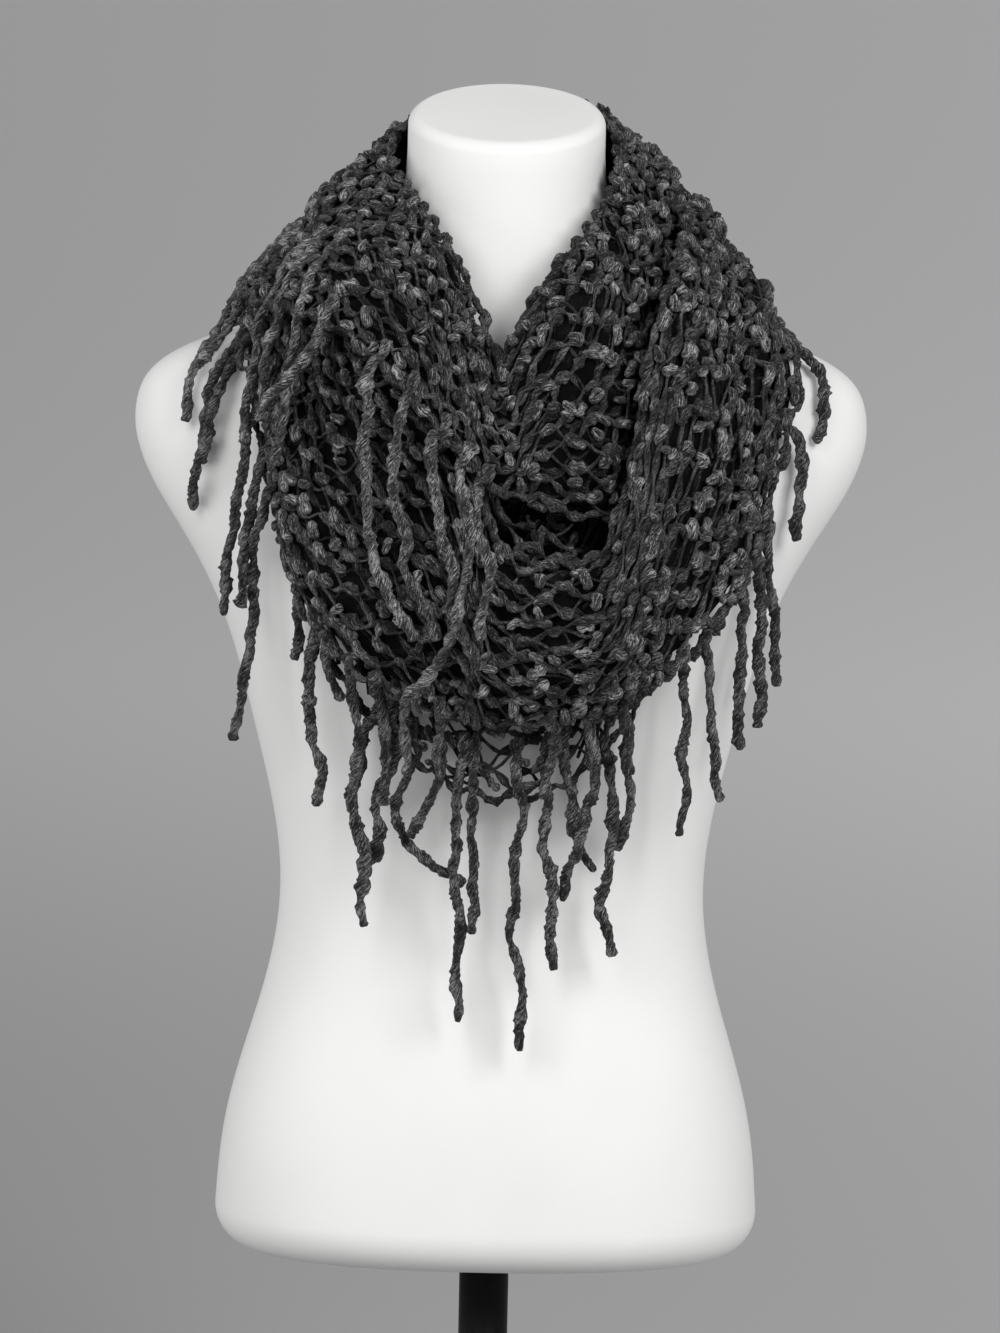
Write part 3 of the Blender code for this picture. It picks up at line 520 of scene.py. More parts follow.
def lay_cells(points, walls, gap):
    """Move a closed grid outward until the middles of its cells lie clear as well."""
    beyond = np.roll(points, -1, axis=0)
    middles = (points[:, :-1] + points[:, 1:] + beyond[:, :-1] + beyond[:, 1:]) / 4
    moves = lay_over(middles, walls, gap) - middles
    size = np.linalg.norm(moves, axis=-1)
    cleared = points.copy()
    width = moves.shape[1]
    for back in (0, 1):
        for side in (0, 1):
            rows = cleared[:, side : side + width]
            drawn = points[:, side : side + width]
            apart = np.linalg.norm(rows - drawn, axis=-1)
            longer = np.roll(size, back, axis=0) > apart
            rows[:] = np.where(longer[..., None], drawn + np.roll(moves, back, axis=0), rows)
    return cleared


def fold_height(folds, degrees, across):
    """Soft ridges along a turn: height x fade x exp(-((across - centre) / width)^2)."""
    total = np.zeros(np.broadcast(degrees, across).shape)
    for start, end, place_start, place_end, width, height in folds:
        along = ((degrees - start) % 360) / (end - start)
        fade = smooth_step(along / FOLD_FADE) * smooth_step((1 - along) / FOLD_FADE)
        centre = place_start + (place_end - place_start) * along
        total += height * fade * np.exp(-(((across - centre) / width) ** 2))
    return total


def turn_face(stations, folds, steps):
    """A turn's inner face before it is laid: straight lines from the top edge to the hem,
    lifted outward by puff x sin(pi v) and the folds."""
    rows = smooth_stations(stations, STEPS_BETWEEN_STATIONS)
    degrees, top_radius, top_height, hem_radius, hem_height, puff = (
        column[:, None] for column in rows.T
    )
    across = np.linspace(0, 1, steps + 1)[None, :]
    angle = np.radians(degrees)
    radius = top_radius + (hem_radius - top_radius) * across
    height = top_height + (hem_height - top_height) * across
    points = np.stack([radius * np.sin(angle), -radius * np.cos(angle), height], axis=-1)
    lift = puff * np.sin(np.pi * across) ** PUFF_FULLNESS + fold_height(folds, degrees, across)
    return points + outward(points) * lift[..., None]


def relax(points):
    """Move each point halfway to the mean of its neighbours, along the edges and inside."""
    after = np.roll(points, -1, axis=0)
    before = np.roll(points, 1, axis=0)
    relaxed = (points + (before + after) / 2) / 2
    near = (before[:, 1:-1] + after[:, 1:-1] + points[:, 2:] + points[:, :-2]) / 4
    relaxed[:, 1:-1] = (points[:, 1:-1] + near) / 2
    return relaxed


def face_normals(points):
    """Outward unit normals of a grid that closes round its first axis."""
    round_step = np.roll(points, -1, axis=0) - np.roll(points, 1, axis=0)
    normals = np.cross(round_step, np.gradient(points, axis=1))
    normals /= np.linalg.norm(normals, axis=-1, keepdims=True)
    return normals * np.sign((normals * outward(points)).sum(-1, keepdims=True))


def lay_turn(shape, gap, below, above=()):
    """A turn's inner face, laid over the walls below and tucked under those above."""
    inner = turn_face(*shape)
    angle = np.degrees(np.arctan2(inner[..., 0], -inner[..., 1])) % 360
    tuck = ((angle > TUCK_ANGLES[0]) & (angle < TUCK_ANGLES[1]))[..., None]
    for turn in range(RELAX_ROUNDS + 1):
        if above:
            tucked = tuck_under(inner, above, WALL + TUCK_GAP)
            inner = np.where(tuck, tucked, lay_over(inner, above, TUCK_GAP))
        inner = lay_over(inner, below, gap)
        if turn < RELAX_ROUNDS:
            inner = relax(inner)
    inner = lay_cells(inner, below, gap)
    if above:
        inner = np.where(tuck, inner, lay_cells(inner, above, TUCK_GAP))
    inner[:, -2:-1] = lay_over(inner[:, -2:-1], below, (gap + HEM_GAP) / 2)
    inner[:, -1:] = lay_over(inner[:, -1:], below, HEM_GAP)
    return inner


def with_margins(grid):
    """A grid with one more column beyond each edge, in line with the last two."""
    return np.concatenate([2 * grid[:, :1] - grid[:, 1:2], grid, 2 * grid[:, -1:] - grid[:, -2:-1]], axis=1)


class Turn:
    """One turn of the scarf as a smooth face with outward normals and measured lengths.

    A place counts columns round the loop and a share runs from 0 at the top edge to 1 at the
    hem. Between the laid points the face is a Catmull-Rom surface.
    """

    SAMPLES = 6

    def __init__(self, inner):
        self.inner = inner
        self.outer = inner + face_normals(inner) * WALL
        self.columns = len(inner)
        self.points = with_margins(inner)
        self.normals = with_margins(face_normals(inner))
        self.fine = np.arange(self.columns * self.SAMPLES) / self.SAMPLES
        shares = np.linspace(0, 1, WIDTH_SAMPLES)
        lines = self.blend(self.points, self.fine[:, None], shares[None, :])
        self.widths = np.linalg.norm(np.diff(lines, axis=1), axis=-1).sum(axis=1)
        middle = lines[:, WIDTH_SAMPLES // 2]
        steps = np.linalg.norm(np.roll(middle, -1, axis=0) - middle, axis=1)
        self.walk = np.concatenate([[0], np.cumsum(steps)])
        self.length = self.walk[-1]

    def blend(self, grid, places, shares):
        """Catmull-Rom blend of a grid, closed round its first axis."""
        places, shares = np.broadcast_arrays(places, shares)
        whole = np.floor(places).astype(int)
        across = shares * (grid.shape[1] - 3)
        column = np.clip(np.floor(across).astype(int), 0, grid.shape[1] - 4)
        return catmull_patch(grid, whole, column, places - whole, across - column)

    def at(self, places, shares, heights=0.0):
        """Points this high above the face, and the face's unit normals there."""
        inside = np.clip(shares, 0.0, 1.0)
        normals = self.blend(self.normals, places, inside)
        normals /= np.linalg.norm(normals, axis=-1, keepdims=True)
        heights = np.broadcast_to(heights, normals.shape[:-1])[..., None]
        face = self.blend(self.points, places, inside)
        near = np.where(np.asarray(shares) < 0.5, 0.05, 0.95) + np.zeros(face.shape[:-1])
        slope = (self.blend(self.points, places, near) - face) / (near - inside + 1e-9)[..., None]
        beyond = (shares - inside + np.zeros(face.shape[:-1]))[..., None]
        return face + slope * beyond + normals * heights, normals

    def place_along(self, distance):
        """The place after walking this far round the loop, along the middle of the cloth."""
        laps = np.floor(distance / self.length)
        fine = np.append(self.fine, self.columns)
        return np.interp(distance - laps * self.length, self.walk, fine) + laps * self.columns

    def width_at(self, places):
        """The cloth's width from the top edge to the hem at each place."""
        return np.interp(places, self.fine, self.widths, period=self.columns)

    def angle_at(self, places):
        """Degrees round the neck from the front, at the cloth's middle, within -180 and 180."""
        middle = self.inner[:, self.inner.shape[1] // 2]
        angle = np.unwrap(np.arctan2(middle[:, 0], -middle[:, 1]))
        angle = np.append(angle, angle[0] + math.copysign(FULL_TURN, angle[-1] - angle[0]))
        found = np.interp(places % self.columns, np.arange(self.columns + 1), angle)
        return (np.degrees(found) + 180) % 360 - 180

    def place_of_angle(self, degrees):
        """The hem's place at an angle round the neck."""
        hem = self.inner[:, -1]
        angle = np.degrees(np.unwrap(np.arctan2(hem[:, 0], -hem[:, 1])))
        places = np.arange(-self.columns, 2 * self.columns)
        return float(np.interp(degrees, np.concatenate([angle - 360, angle, angle + 360]), places))


@functools.cache
def turns():
    """The three turns, laid in the order in which they are wound."""
    form, under, cowl = (walls_of(node) for node in ("dress_form", "under_wrap", "cowl_wrap"))
    return {
        "under": Turn(lay_turn((UNDER_STATIONS, (), UNDER_STEPS), UNDER_GAP, [form])),
        "cowl": Turn(lay_turn((COWL_STATIONS, COWL_FOLDS, COWL_STEPS), LAYER_GAP, [form, under])),
        "outer": Turn(
            lay_turn((OUTER_STATIONS, OUTER_FOLDS, OUTER_STEPS), LAYER_GAP, [form, under], [cowl])
        ),
    }


def unit(vectors):
    """Vectors scaled to length 1."""
    return vectors / np.maximum(np.linalg.norm(vectors, axis=-1, keepdims=True), 1e-9)


def yarn_tube(path, up, radius, sides, closed, twist, lobes):
    """A twisted yarn: a ring of points round each point of the path.

    A ring's point is path + r (cos q n + sin q b), with n the outward direction squared to the
    path, b = path direction x n, and r the radius x (1 + lobes cos 2(q - twist x length)).
    Returns points, quads, end rings and the fibre coordinates (cos p, sin p, length), where
    p = q - twist x length runs with the fibres.
    """
    if closed:
        along = np.roll(path, -1, axis=0) - np.roll(path, 1, axis=0)
        step = np.linalg.norm(path - np.roll(path, 1, axis=0), axis=1)
        step[0] = 0
    else:
        along = np.gradient(path, axis=0)
        step = np.concatenate([[0], np.linalg.norm(np.diff(path, axis=0), axis=1)])
    length = np.cumsum(step)
    along = unit(along)
    normal = unit(up - along * (up * along).sum(axis=-1, keepdims=True))
    beside = np.cross(along, normal)
    angle = np.arange(sides) * FULL_TURN / sides
    phase = angle[None, :] - twist * length[:, None]
    rough = np.random.default_rng(len(path)).normal(0, YARN_ROUGH, phase.shape)
    swell = radius[:, None] * (1 + lobes * np.cos(2 * phase) + rough)
    points = (
        path[:, None]
        + (swell * np.cos(angle))[..., None] * normal[:, None]
        + (swell * np.sin(angle))[..., None] * beside[:, None]
    )
    fibre = np.stack([np.cos(phase), np.sin(phase), np.broadcast_to(length[:, None], phase.shape)], axis=-1)
    count = len(path)
    rows = np.arange(count if closed else count - 1)
    here = rows[:, None] * sides + np.arange(sides)[None, :]
    beyond = ((rows + 1) % count)[:, None] * sides + np.arange(sides)[None, :]
    quads = np.stack([here, np.roll(here, -1, axis=1), np.roll(beyond, -1, axis=1), beyond], axis=-1)
    ends = []
    if not closed:
        ends = [np.arange(sides)[::-1], np.arange(sides) + (count - 1) * sides]
    return points.reshape(-1, 3), quads.reshape(-1, 4), ends, fibre.reshape(-1, 3)


def join_tubes(tubes):
    """Several tubes as one list of points, quads, end rings and fibre coordinates."""
    shift = np.cumsum([0] + [len(tube[0]) for tube in tubes[:-1]])
    own_stretch = [tube[3] + [0, 0, OWN_STRETCH * number] for number, tube in enumerate(tubes)]
    points = np.concatenate([tube[0] for tube in tubes])
    quads = np.concatenate([tube[1] + start for tube, start in zip(tubes, shift)])
    ends = [ring + start for tube, start in zip(tubes, shift) for ring in tube[2]]
    return points, quads, ends, np.concatenate(own_stretch)


def make_piece(name, points, quads, ends, material, fibre=None):
    """A smooth-shaded object at the origin from whole arrays of points and faces."""
    mesh = bpy.data.meshes.new(name)
    mesh.vertices.add(len(points))
    mesh.vertices.foreach_set("co", np.asarray(points, dtype=np.float32).ravel())
    corners = np.concatenate([np.asarray(quads).ravel()] + [np.asarray(ring) for ring in ends])
    sizes = np.concatenate([np.full(len(quads), 4), [len(ring) for ring in ends]]).astype(np.int32)
    mesh.loops.add(len(corners))
    mesh.loops.foreach_set("vertex_index", corners.astype(np.int32))
    mesh.polygons.add(len(sizes))
    mesh.polygons.foreach_set("loop_start", np.concatenate([[0], np.cumsum(sizes)[:-1]]).astype(np.int32))
    mesh.update(calc_edges=True)
    mesh.polygons.foreach_set("use_smooth", np.ones(len(sizes), dtype=bool))
    if fibre is not None:
        layer = mesh.attributes.new("fibre", "FLOAT_VECTOR", "POINT")
        layer.data.foreach_set("vector", np.asarray(fibre, dtype=np.float32).ravel())
    mesh.materials.append(material)
    item = bpy.data.objects.new(name, mesh)
    bpy.context.scene.collection.objects.link(item)
    return item


def runs_of(mask):
    """Index rows of the stretches of a closed row where the mask holds."""
    count = len(mask)
    if mask.all():
        return [np.arange(count)]
    index = (int(np.argmin(mask)) + np.arange(count)) % count
    parts = np.split(index, np.flatnonzero(np.diff(mask[index])) + 1)
    return [part for part in parts if mask[part[0]]]


def soft_field(seed, cells, x, y):
    """Smooth noise over the cloth: Catmull-Rom through random values on a grid of cells.

    It repeats every cells[0] steps of x, which runs round the loop; y runs across the cloth.
    """
    random = np.random.default_rng(seed)
    around, across = cells
    grid = random.normal(0, 1, (around, across + 4)).clip(-1.8, 1.8)
    column = np.floor(x).astype(int)
    row = np.clip(np.floor(y).astype(int), 0, across - 1)
    inside = np.clip(y - row, 0, 1)
    return catmull_patch(grid[..., None], column, row, x - column, inside)[..., 0]


def knot_walks(turn, steps, evenness):
    """Where the stitches lie along the loop: closer together where the cloth is narrow.

    Their density is width^-evenness, scaled to the number of steps.
    """
    walk = np.linspace(0, turn.length, FINE_WALK)
    density = turn.width_at(turn.place_along(walk)) ** -evenness
    total = np.concatenate([[0], np.cumsum((density[1:] + density[:-1]) / 2)])
    return np.interp(np.arange(steps) * total[-1] / steps, total, walk)


def eased(values, blend):
    """Each stitch's value, running over to the next stitch's."""
    return values[:, None] * (1 - blend) + np.roll(values, -1)[:, None] * blend


def knit_tubes(turn, plan, seed):
    """The yarn of an open knit over a turn: one zigzag course above another.

    A course rises and falls between knots, place = knot + t + bulge sin(2 pi t) and share =
    smooth step from knot to knot, and at each knot it crosses the next course. Its radius is
    thin + (lump - thin) exp(-|distance from the lump's middle / lump length|^3). Smooth noise
    shifts whole neighbourhoods of stitches, and a further jitter shifts each knot.
    """
    random = np.random.default_rng(seed)
    steps = plan["steps"]
    rows = plan["rows"] + plan["above"]
    detail = plan["detail"]
    shape = (rows + 1, steps)
    jitter = random.normal(0, 1, shape + (2,)).clip(-1.7, 1.7)
    missed = random.random(shape) < plan["missed"]
    depth = random.uniform(-1, 1, shape)
    even = knot_walks(turn, steps, plan["evenness"])
    pitch = turn.length / steps
    cells = (steps // plan["patch"], rows // 3 + 1)
    tubes = []
    for course in range(rows):
        down = (np.arange(steps) + course) % 2 == 0
        row = course + down
        column = np.arange(steps)
        shift = jitter[row, column]
        spot = (column * cells[0] / steps, row * cells[1] / (rows + 1))
        walk = even + pitch * (
            shift[:, 0] * plan["sway_along"] + plan["drift"] * soft_field(seed + 3, cells, *spot)
        )
        hook = np.where(missed[row, column], -plan["slack"], plan["hook"])
        level = row + shift[:, 1] * plan["sway_across"] + np.where(down, hook, -hook)
        level = level + plan["drift"] * soft_field(seed + 4, cells, *spot)
        front = np.where(down, 1, -1) * np.sign(depth[row, column])
        lift = plan["height"] + front * plan["cross"] + random.normal(0, plan["uneven"], steps)
        lift = lift + plan["billow"] * soft_field(seed + 5, cells, *spot)
        lump = plan["lump"] * random.uniform(*plan["lump_spread"], steps)
        lump = np.where(random.random(steps) < plan["plain"], plan["thin"] * 1.35, lump)
        between = plan["lump"] * random.uniform(*plan["between_spread"], steps)
        between = np.where(random.random(steps) < plan["between"], between, plan["thin"])
        between_at = random.uniform(*plan["between_at"], steps)
        long = plan["lump_length"] * random.uniform(*plan["long"], (3, steps))
        t = np.arange(detail) / detail
        blend = smooth_step(t)[None, :]
        ahead = np.roll(walk, -1)
        ahead[-1] += turn.length
        wander = t + plan["bulge"] * np.sin(FULL_TURN * t)
        walks = walk[:, None] + (ahead - walk)[:, None] * wander[None, :]
        levels = eased(level, blend)
        bow = plan["bow"] * random.normal(0, 1, steps).clip(-1.5, 1.5)
        walks = walks + pitch * bow[:, None] * np.sin(np.pi * t)[None, :]
        lifts = eased(lift, blend)
        places = turn.place_along(walks.ravel())
        count = np.minimum(plan["rows"], turn.width_at(places) / plan["closest"])
        stretch = np.hypot(ahead - walk, (turn.width_at(places) / count).reshape(walks.shape)[:, 0])
        thin = plan["thin"]
        radius = np.full(walks.shape, thin)
        for size, middle, length in (
            (lump, 0.0, long[0]), (np.roll(lump, -1), 1.0, np.roll(long[0], -1)),
            (between, between_at, long[1]),
        ):
            away = np.abs(t[None, :] - np.broadcast_to(middle, steps)[:, None]) * stretch[:, None]
            radius = np.maximum(
                radius, thin + (size[:, None] - thin) * np.exp(-((away / length[:, None]) ** 3))
            )
        shares = (levels.ravel() + plan["first"] - plan["above"]) / count
        squeeze = np.clip(turn.width_at(places) / count / plan["full_pitch"], plan["tight"], 1)
        inside = (shares > plan["edges"][0]) & (shares < plan["edges"][1])
        angle = turn.angle_at(places)
        opened = (np.abs(angle - plan["open"][1]) < plan["open"][2]) & (shares > plan["open"][0])
        inside |= opened & (shares <= plan["edges"][0])
        centres, normals = turn.at(places, np.clip(shares, plan["open"][0], 1.02), lifts.ravel())
        radii = radius.ravel() * squeeze * (1 + 0.08 * random.normal(0, 1, len(places)).clip(-2, 2))
        for run in runs_of(inside):
            if len(run) < detail:
                continue
            closed = len(run) == len(places)
            tubes.append(
                yarn_tube(
                    centres[run], normals[run], radii[run], plan["sides"], closed, plan["twist"],
                    plan["lobes"],
                )
            )
    return tubes


def nub_tubes(turn, plan, low, seed):
    """Short fat slubs of yarn that lie over the crossings, each at its own angle.

    A slub's line is (h s cos a, h s sin a) in the face with s from -1 to 1, arched outward by
    NUB_ARCH (1 - s^2), and its radius is r (1 - 0.5 s^4).
    """
    random = np.random.default_rng(seed)
    around = int(turn.length / plan["nub_step"])
    most = int(turn.widths.max() / plan["nub_row"])
    s = np.linspace(-1, 1, NUB_POINTS)
    tubes = []
    for row in range(most):
        walk = (np.arange(around) + row % 2 / 2) * turn.length / around
        walk = walk + random.normal(0, 0.30, around).clip(-0.6, 0.6) * plan["nub_step"]
        width = turn.width_at(turn.place_along(walk))
        level = (row + 0.6 + random.normal(0, 0.26, around).clip(-0.5, 0.5)) * plan["nub_row"]
        kept = (level > low * width) & (level < NUB_END * width)
        kept &= random.random(around) > plan["nub_missed"]
        for start, height, wide in zip(walk[kept], level[kept], width[kept]):
            angle = random.normal(0, NUB_TURN)
            half = plan["nub_half"] * random.uniform(0.75, 1.3)
            radius = plan["lump"] * random.uniform(*plan["nub_spread"])
            bend = random.normal(0, NUB_BEND) * (1 - s**2)
            walks = start + half * (s * math.cos(angle) - bend * math.sin(angle))
            shares = (height + half * (s * math.sin(angle) + bend * math.cos(angle))) / wide
            lift = plan["height"] + NUB_LIFT + random.normal(0, 0.0007) + NUB_ARCH * (1 - s**2)
            centres, normals = turn.at(turn.place_along(walks), shares, lift)
            radii = radius * (1 - 0.5 * s**4) * random.uniform(0.9, 1.1, len(s))
            tubes.append(yarn_tube(centres, normals, radii, NUB_SIDES, False, NUB_TWIST, plan["lobes"]))
    return tubes


def edge_tube(turn, share, plan, seed):
    """The chain along an edge: a small zigzag with a lump at each of its turns."""
    random = np.random.default_rng(seed)
    steps = int(turn.length / plan["edge_pitch"]) // 2 * 2
    detail = plan["detail"]
    knots = np.arange(steps)
    side = np.where(knots % 2 == 0, 1, -1)
    widths = turn.width_at(turn.place_along(knots * turn.length / steps))
    level = share + side * plan["edge_swing"] / widths * random.uniform(0.5, 1.4, steps)
    lift = plan["height"] + random.normal(0, 0.0009, steps)
    lump = plan["lump"] * random.uniform(0.62, 1.0, steps)
    t = np.arange(detail) / detail
    blend = smooth_step(t)[None, :]
    walks = (knots[:, None] + t + 0.08 * np.sin(FULL_TURN * t)) * turn.length / steps
    levels = eased(level, blend)
    lifts = eased(lift, blend)
    near = np.exp(-((t / EDGE_LUMP) ** 3))[None, :]
    far = np.exp(-(((1 - t) / EDGE_LUMP) ** 3))[None, :]
    thin = plan["edge_thin"]
    radius = thin + (lump[:, None] - thin) * near + (np.roll(lump, -1)[:, None] - thin) * far
    centres, normals = turn.at(turn.place_along(walks.ravel()), levels.ravel(), lifts.ravel())
    return yarn_tube(centres, normals, radius.ravel(), plan["sides"], True, plan["twist"], plan["lobes"])


def inner_plies(turn, shares):
    """The bunched knit beneath the outer stitches, as one thin wall with crossing ribs.

    Its height above the face is PLY_HEIGHT + PLY_RIB |sin(pi (x + y) / PLY_PITCH)
    sin(pi (x - y) / PLY_PITCH)|, x being the walk round the loop and y the width across.
    Returns points and quads.
    """
    around = int(turn.length / PLY_SPACING)
    across = int(turn.widths.mean() * (shares[1] - shares[0]) / PLY_SPACING)
    walk = np.arange(around)[:, None] * turn.length / around
    share = np.linspace(shares[0], shares[1], across + 1)[None, :]
    walk, share = np.broadcast_arrays(walk, share)
    places = turn.place_along(walk.ravel())
    width = turn.width_at(places)
    x = walk.ravel()
    y = share.ravel() * width
    waves = np.abs(np.sin(np.pi * (x + y) / PLY_PITCH) * np.sin(np.pi * (x - y) / PLY_PITCH))
    top, _ = turn.at(places, share.ravel(), PLY_HEIGHT + PLY_RIB * waves)
    bottom, _ = turn.at(places, share.ravel(), PLY_HEIGHT - PLY_THICKNESS)
    columns = across + 1
    here = np.arange(around)[:, None] * columns + np.arange(across)[None, :]
    beyond = ((np.arange(around) + 1) % around)[:, None] * columns + np.arange(across)[None, :]
    face = np.stack([here, beyond, beyond + 1, here + 1], axis=-1).reshape(-1, 4)
    shift = around * columns
    rims = []
    for step, turned in ((0, False), (across, True)):
        near = np.arange(around) * columns + step
        far = ((np.arange(around) + 1) % around) * columns + step
        rim = np.stack([near, near + shift, far + shift, far], axis=-1)
        rims.append(rim[:, ::-1] if turned else rim)
    quads = np.concatenate([face, face[:, ::-1] + shift] + rims)
    points = np.concatenate([top, bottom])
    return points, quads


def smooth_line(points, spacing):
    """A Catmull-Rom line through a few points, at even steps of about the spacing."""
    ends = np.concatenate([[2 * points[0] - points[1]], points, [2 * points[-1] - points[-2]]])
    fine = np.linspace(0, len(points) - 1, 16 * (len(points) - 1) + 1)
    whole = np.minimum(fine.astype(int), len(points) - 2)
    weights = catmull_weights((fine - whole)[:, None])
    line = sum(weight * ends[whole + offset] for offset, weight in enumerate(weights))
    walk = np.concatenate([[0], np.cumsum(np.linalg.norm(np.diff(line, axis=0), axis=1))])
    even = np.linspace(0, walk[-1], max(int(walk[-1] / spacing), 8))
    return np.stack([np.interp(even, walk, line[:, axis]) for axis in range(3)], axis=1)


def dense(path):
    """The path with four points to each step, to test how far apart strands lie."""
    fine = np.linspace(0, len(path) - 1, 4 * (len(path) - 1) + 1)
    return np.stack([np.interp(fine, np.arange(len(path)), path[:, axis]) for axis in range(3)], axis=1)


def strand_path(root, heading, walls, placed, drop, drift, bow, lean=0.0):
    """Points of one strand: it hangs from its root, swings sideways and lies over the cloth.

    Its free fall is x = drift t^1.5 + bow sin(pi t), y = lean t, z = -drop t.
    """
    steps = int(np.clip(round(math.hypot(drop, drift) / STRAND_STEP), *STRAND_STEPS))
    t = np.linspace(0, 1, steps + 1)[:, None]
    path = root + np.hstack([drift * t**1.5 + bow * np.sin(np.pi * t), lean * t, -drop * t])
    path += heading * STRAND_LEAD * np.clip(t * 3, 0, 1)
    path[1:] = lay_over(path[1:], walls, STRAND_CLEARANCE, STRAND_FLATNESS)
    path[1:-1] = (path[:-2] + 2 * path[1:-1] + path[2:]) / 4
    for _ in range(RELAX_ROUNDS):
        path[1:] = lay_over(path[1:], walls, STRAND_CLEARANCE, STRAND_FLATNESS)
        middles = (path[:-1] + path[1:]) / 2
        moves = lay_over(middles, walls, STRAND_CLEARANCE, STRAND_FLATNESS) - middles
        path[1:] += moves
        path[1:-1] += moves[1:]
    level = outward(path, STRAND_FLATNESS)
    if placed:
        others = np.concatenate(placed)
        for _ in range(6):
            close = np.linalg.norm(path[:, None] - others[None], axis=-1).min(axis=1) <= STRAND_APART
            close[0] = False
            path[close] += level[close] * STRAND_NUDGE
    return path


def hidden_strands(first, last, spacing, drop, seed):
    """Strands at even angles with uneven length and sway, for the stretches behind."""
    random = np.random.default_rng(seed)
    return [
        (
            float(angle + random.uniform(-0.2, 0.2) * spacing),
            float(drop * random.uniform(0.75, 1.2)),
            float(random.uniform(-0.012, 0.012)),
            float(random.uniform(-0.004, 0.004)),
        )
        for angle in np.arange(first, last, spacing)
    ]


def fringe_yarn(turn, strands, walls, placed, start, sizes, seed):
    """The strands of one run as twisted cords, each starting a little way up the knit."""
    random = np.random.default_rng(seed)
    tubes = []
    hem = (turn.inner[:, -1] + turn.outer[:, -1]) / 2
    along_hem = np.roll(turn.inner[:, -1], -1, axis=0) - np.roll(turn.inner[:, -1], 1, axis=0)
    down = np.cross(along_hem, turn.outer[:, -1] - turn.inner[:, -1])
    down *= np.sign((down * (turn.inner[:, -1] - turn.inner[:, -3])).sum(axis=1, keepdims=True))
    down = unit(down)
    for angle, *row in sorted(strands):
        place = turn.place_of_angle(angle)
        whole = math.floor(place)
        part = place - whole
        here, there = whole % turn.columns, (whole + 1) % turn.columns
        heading = down[here] * (1 - part) + down[there] * part
        edge = hem[here] * (1 - part) + hem[there] * part
        root = edge + heading * (STRIP_GAP + STRIP_DEPTH)
        path = strand_path(root, heading, walls, placed, *row)
        placed.append(dense(path))
        width = float(turn.width_at(np.array([place]))[0])
        reach = start * random.uniform(0.8, 1.3)
        back = 1 - np.linspace(reach, 0.006, max(int(reach / CORD_LEAD_STEP), 2)) / width
        lead, _ = turn.at(np.full(len(back), place), back, CORD_HEIGHT)
        line = smooth_line(np.concatenate([lead, path]), CORD_SPACING)
        line = wobble(line, CORD_WOBBLE, random)
        radius = sizes.cord_radius * random.uniform(0.88, 1.1) * (
            1 + 0.12 * wave(len(line), 7, random) + 0.12 * wave(len(line), 3, random)
        )
        tip = np.arange(len(line))[::-1] * CORD_SPACING
        radius *= np.clip(0.62 + tip / CORD_TIP, 0, 1)
        tubes.append(
            yarn_tube(
                line, outward(line), radius, sizes.cord_sides, False, FULL_TURN / sizes.cord_pitch,
                CORD_LOBES,
            )
        )
    return tubes


def wave(count, spacing, random):
    """A smooth random row of numbers about 0, with a new value every few places."""
    knots = random.normal(0, 1, count // spacing + 4).clip(-2, 2)
    fine = np.arange(count) / spacing
    whole = fine.astype(int)
    weights = catmull_weights(fine - whole)
    return sum(weight * knots[whole + offset] for offset, weight in enumerate(weights))


def wobble(line, size, random):
    """A line with soft bends, two waves sideways and one outward, fading in from its start."""
    along = unit(np.gradient(line, axis=0))
    out = outward(line)
    out = unit(out - along * (out * along).sum(axis=-1, keepdims=True))
    beside = np.cross(along, out)
    fade = smooth_step(np.arange(len(line)) * CORD_SPACING / WOBBLE_START)[:, None]
    bend = wave(len(line), 14, random) * size + wave(len(line), 6, random) * size * 0.35
    lift = np.abs(wave(len(line), 12, random)) * size * 0.3
    return line + fade * (beside * bend[:, None] + out * lift[:, None])


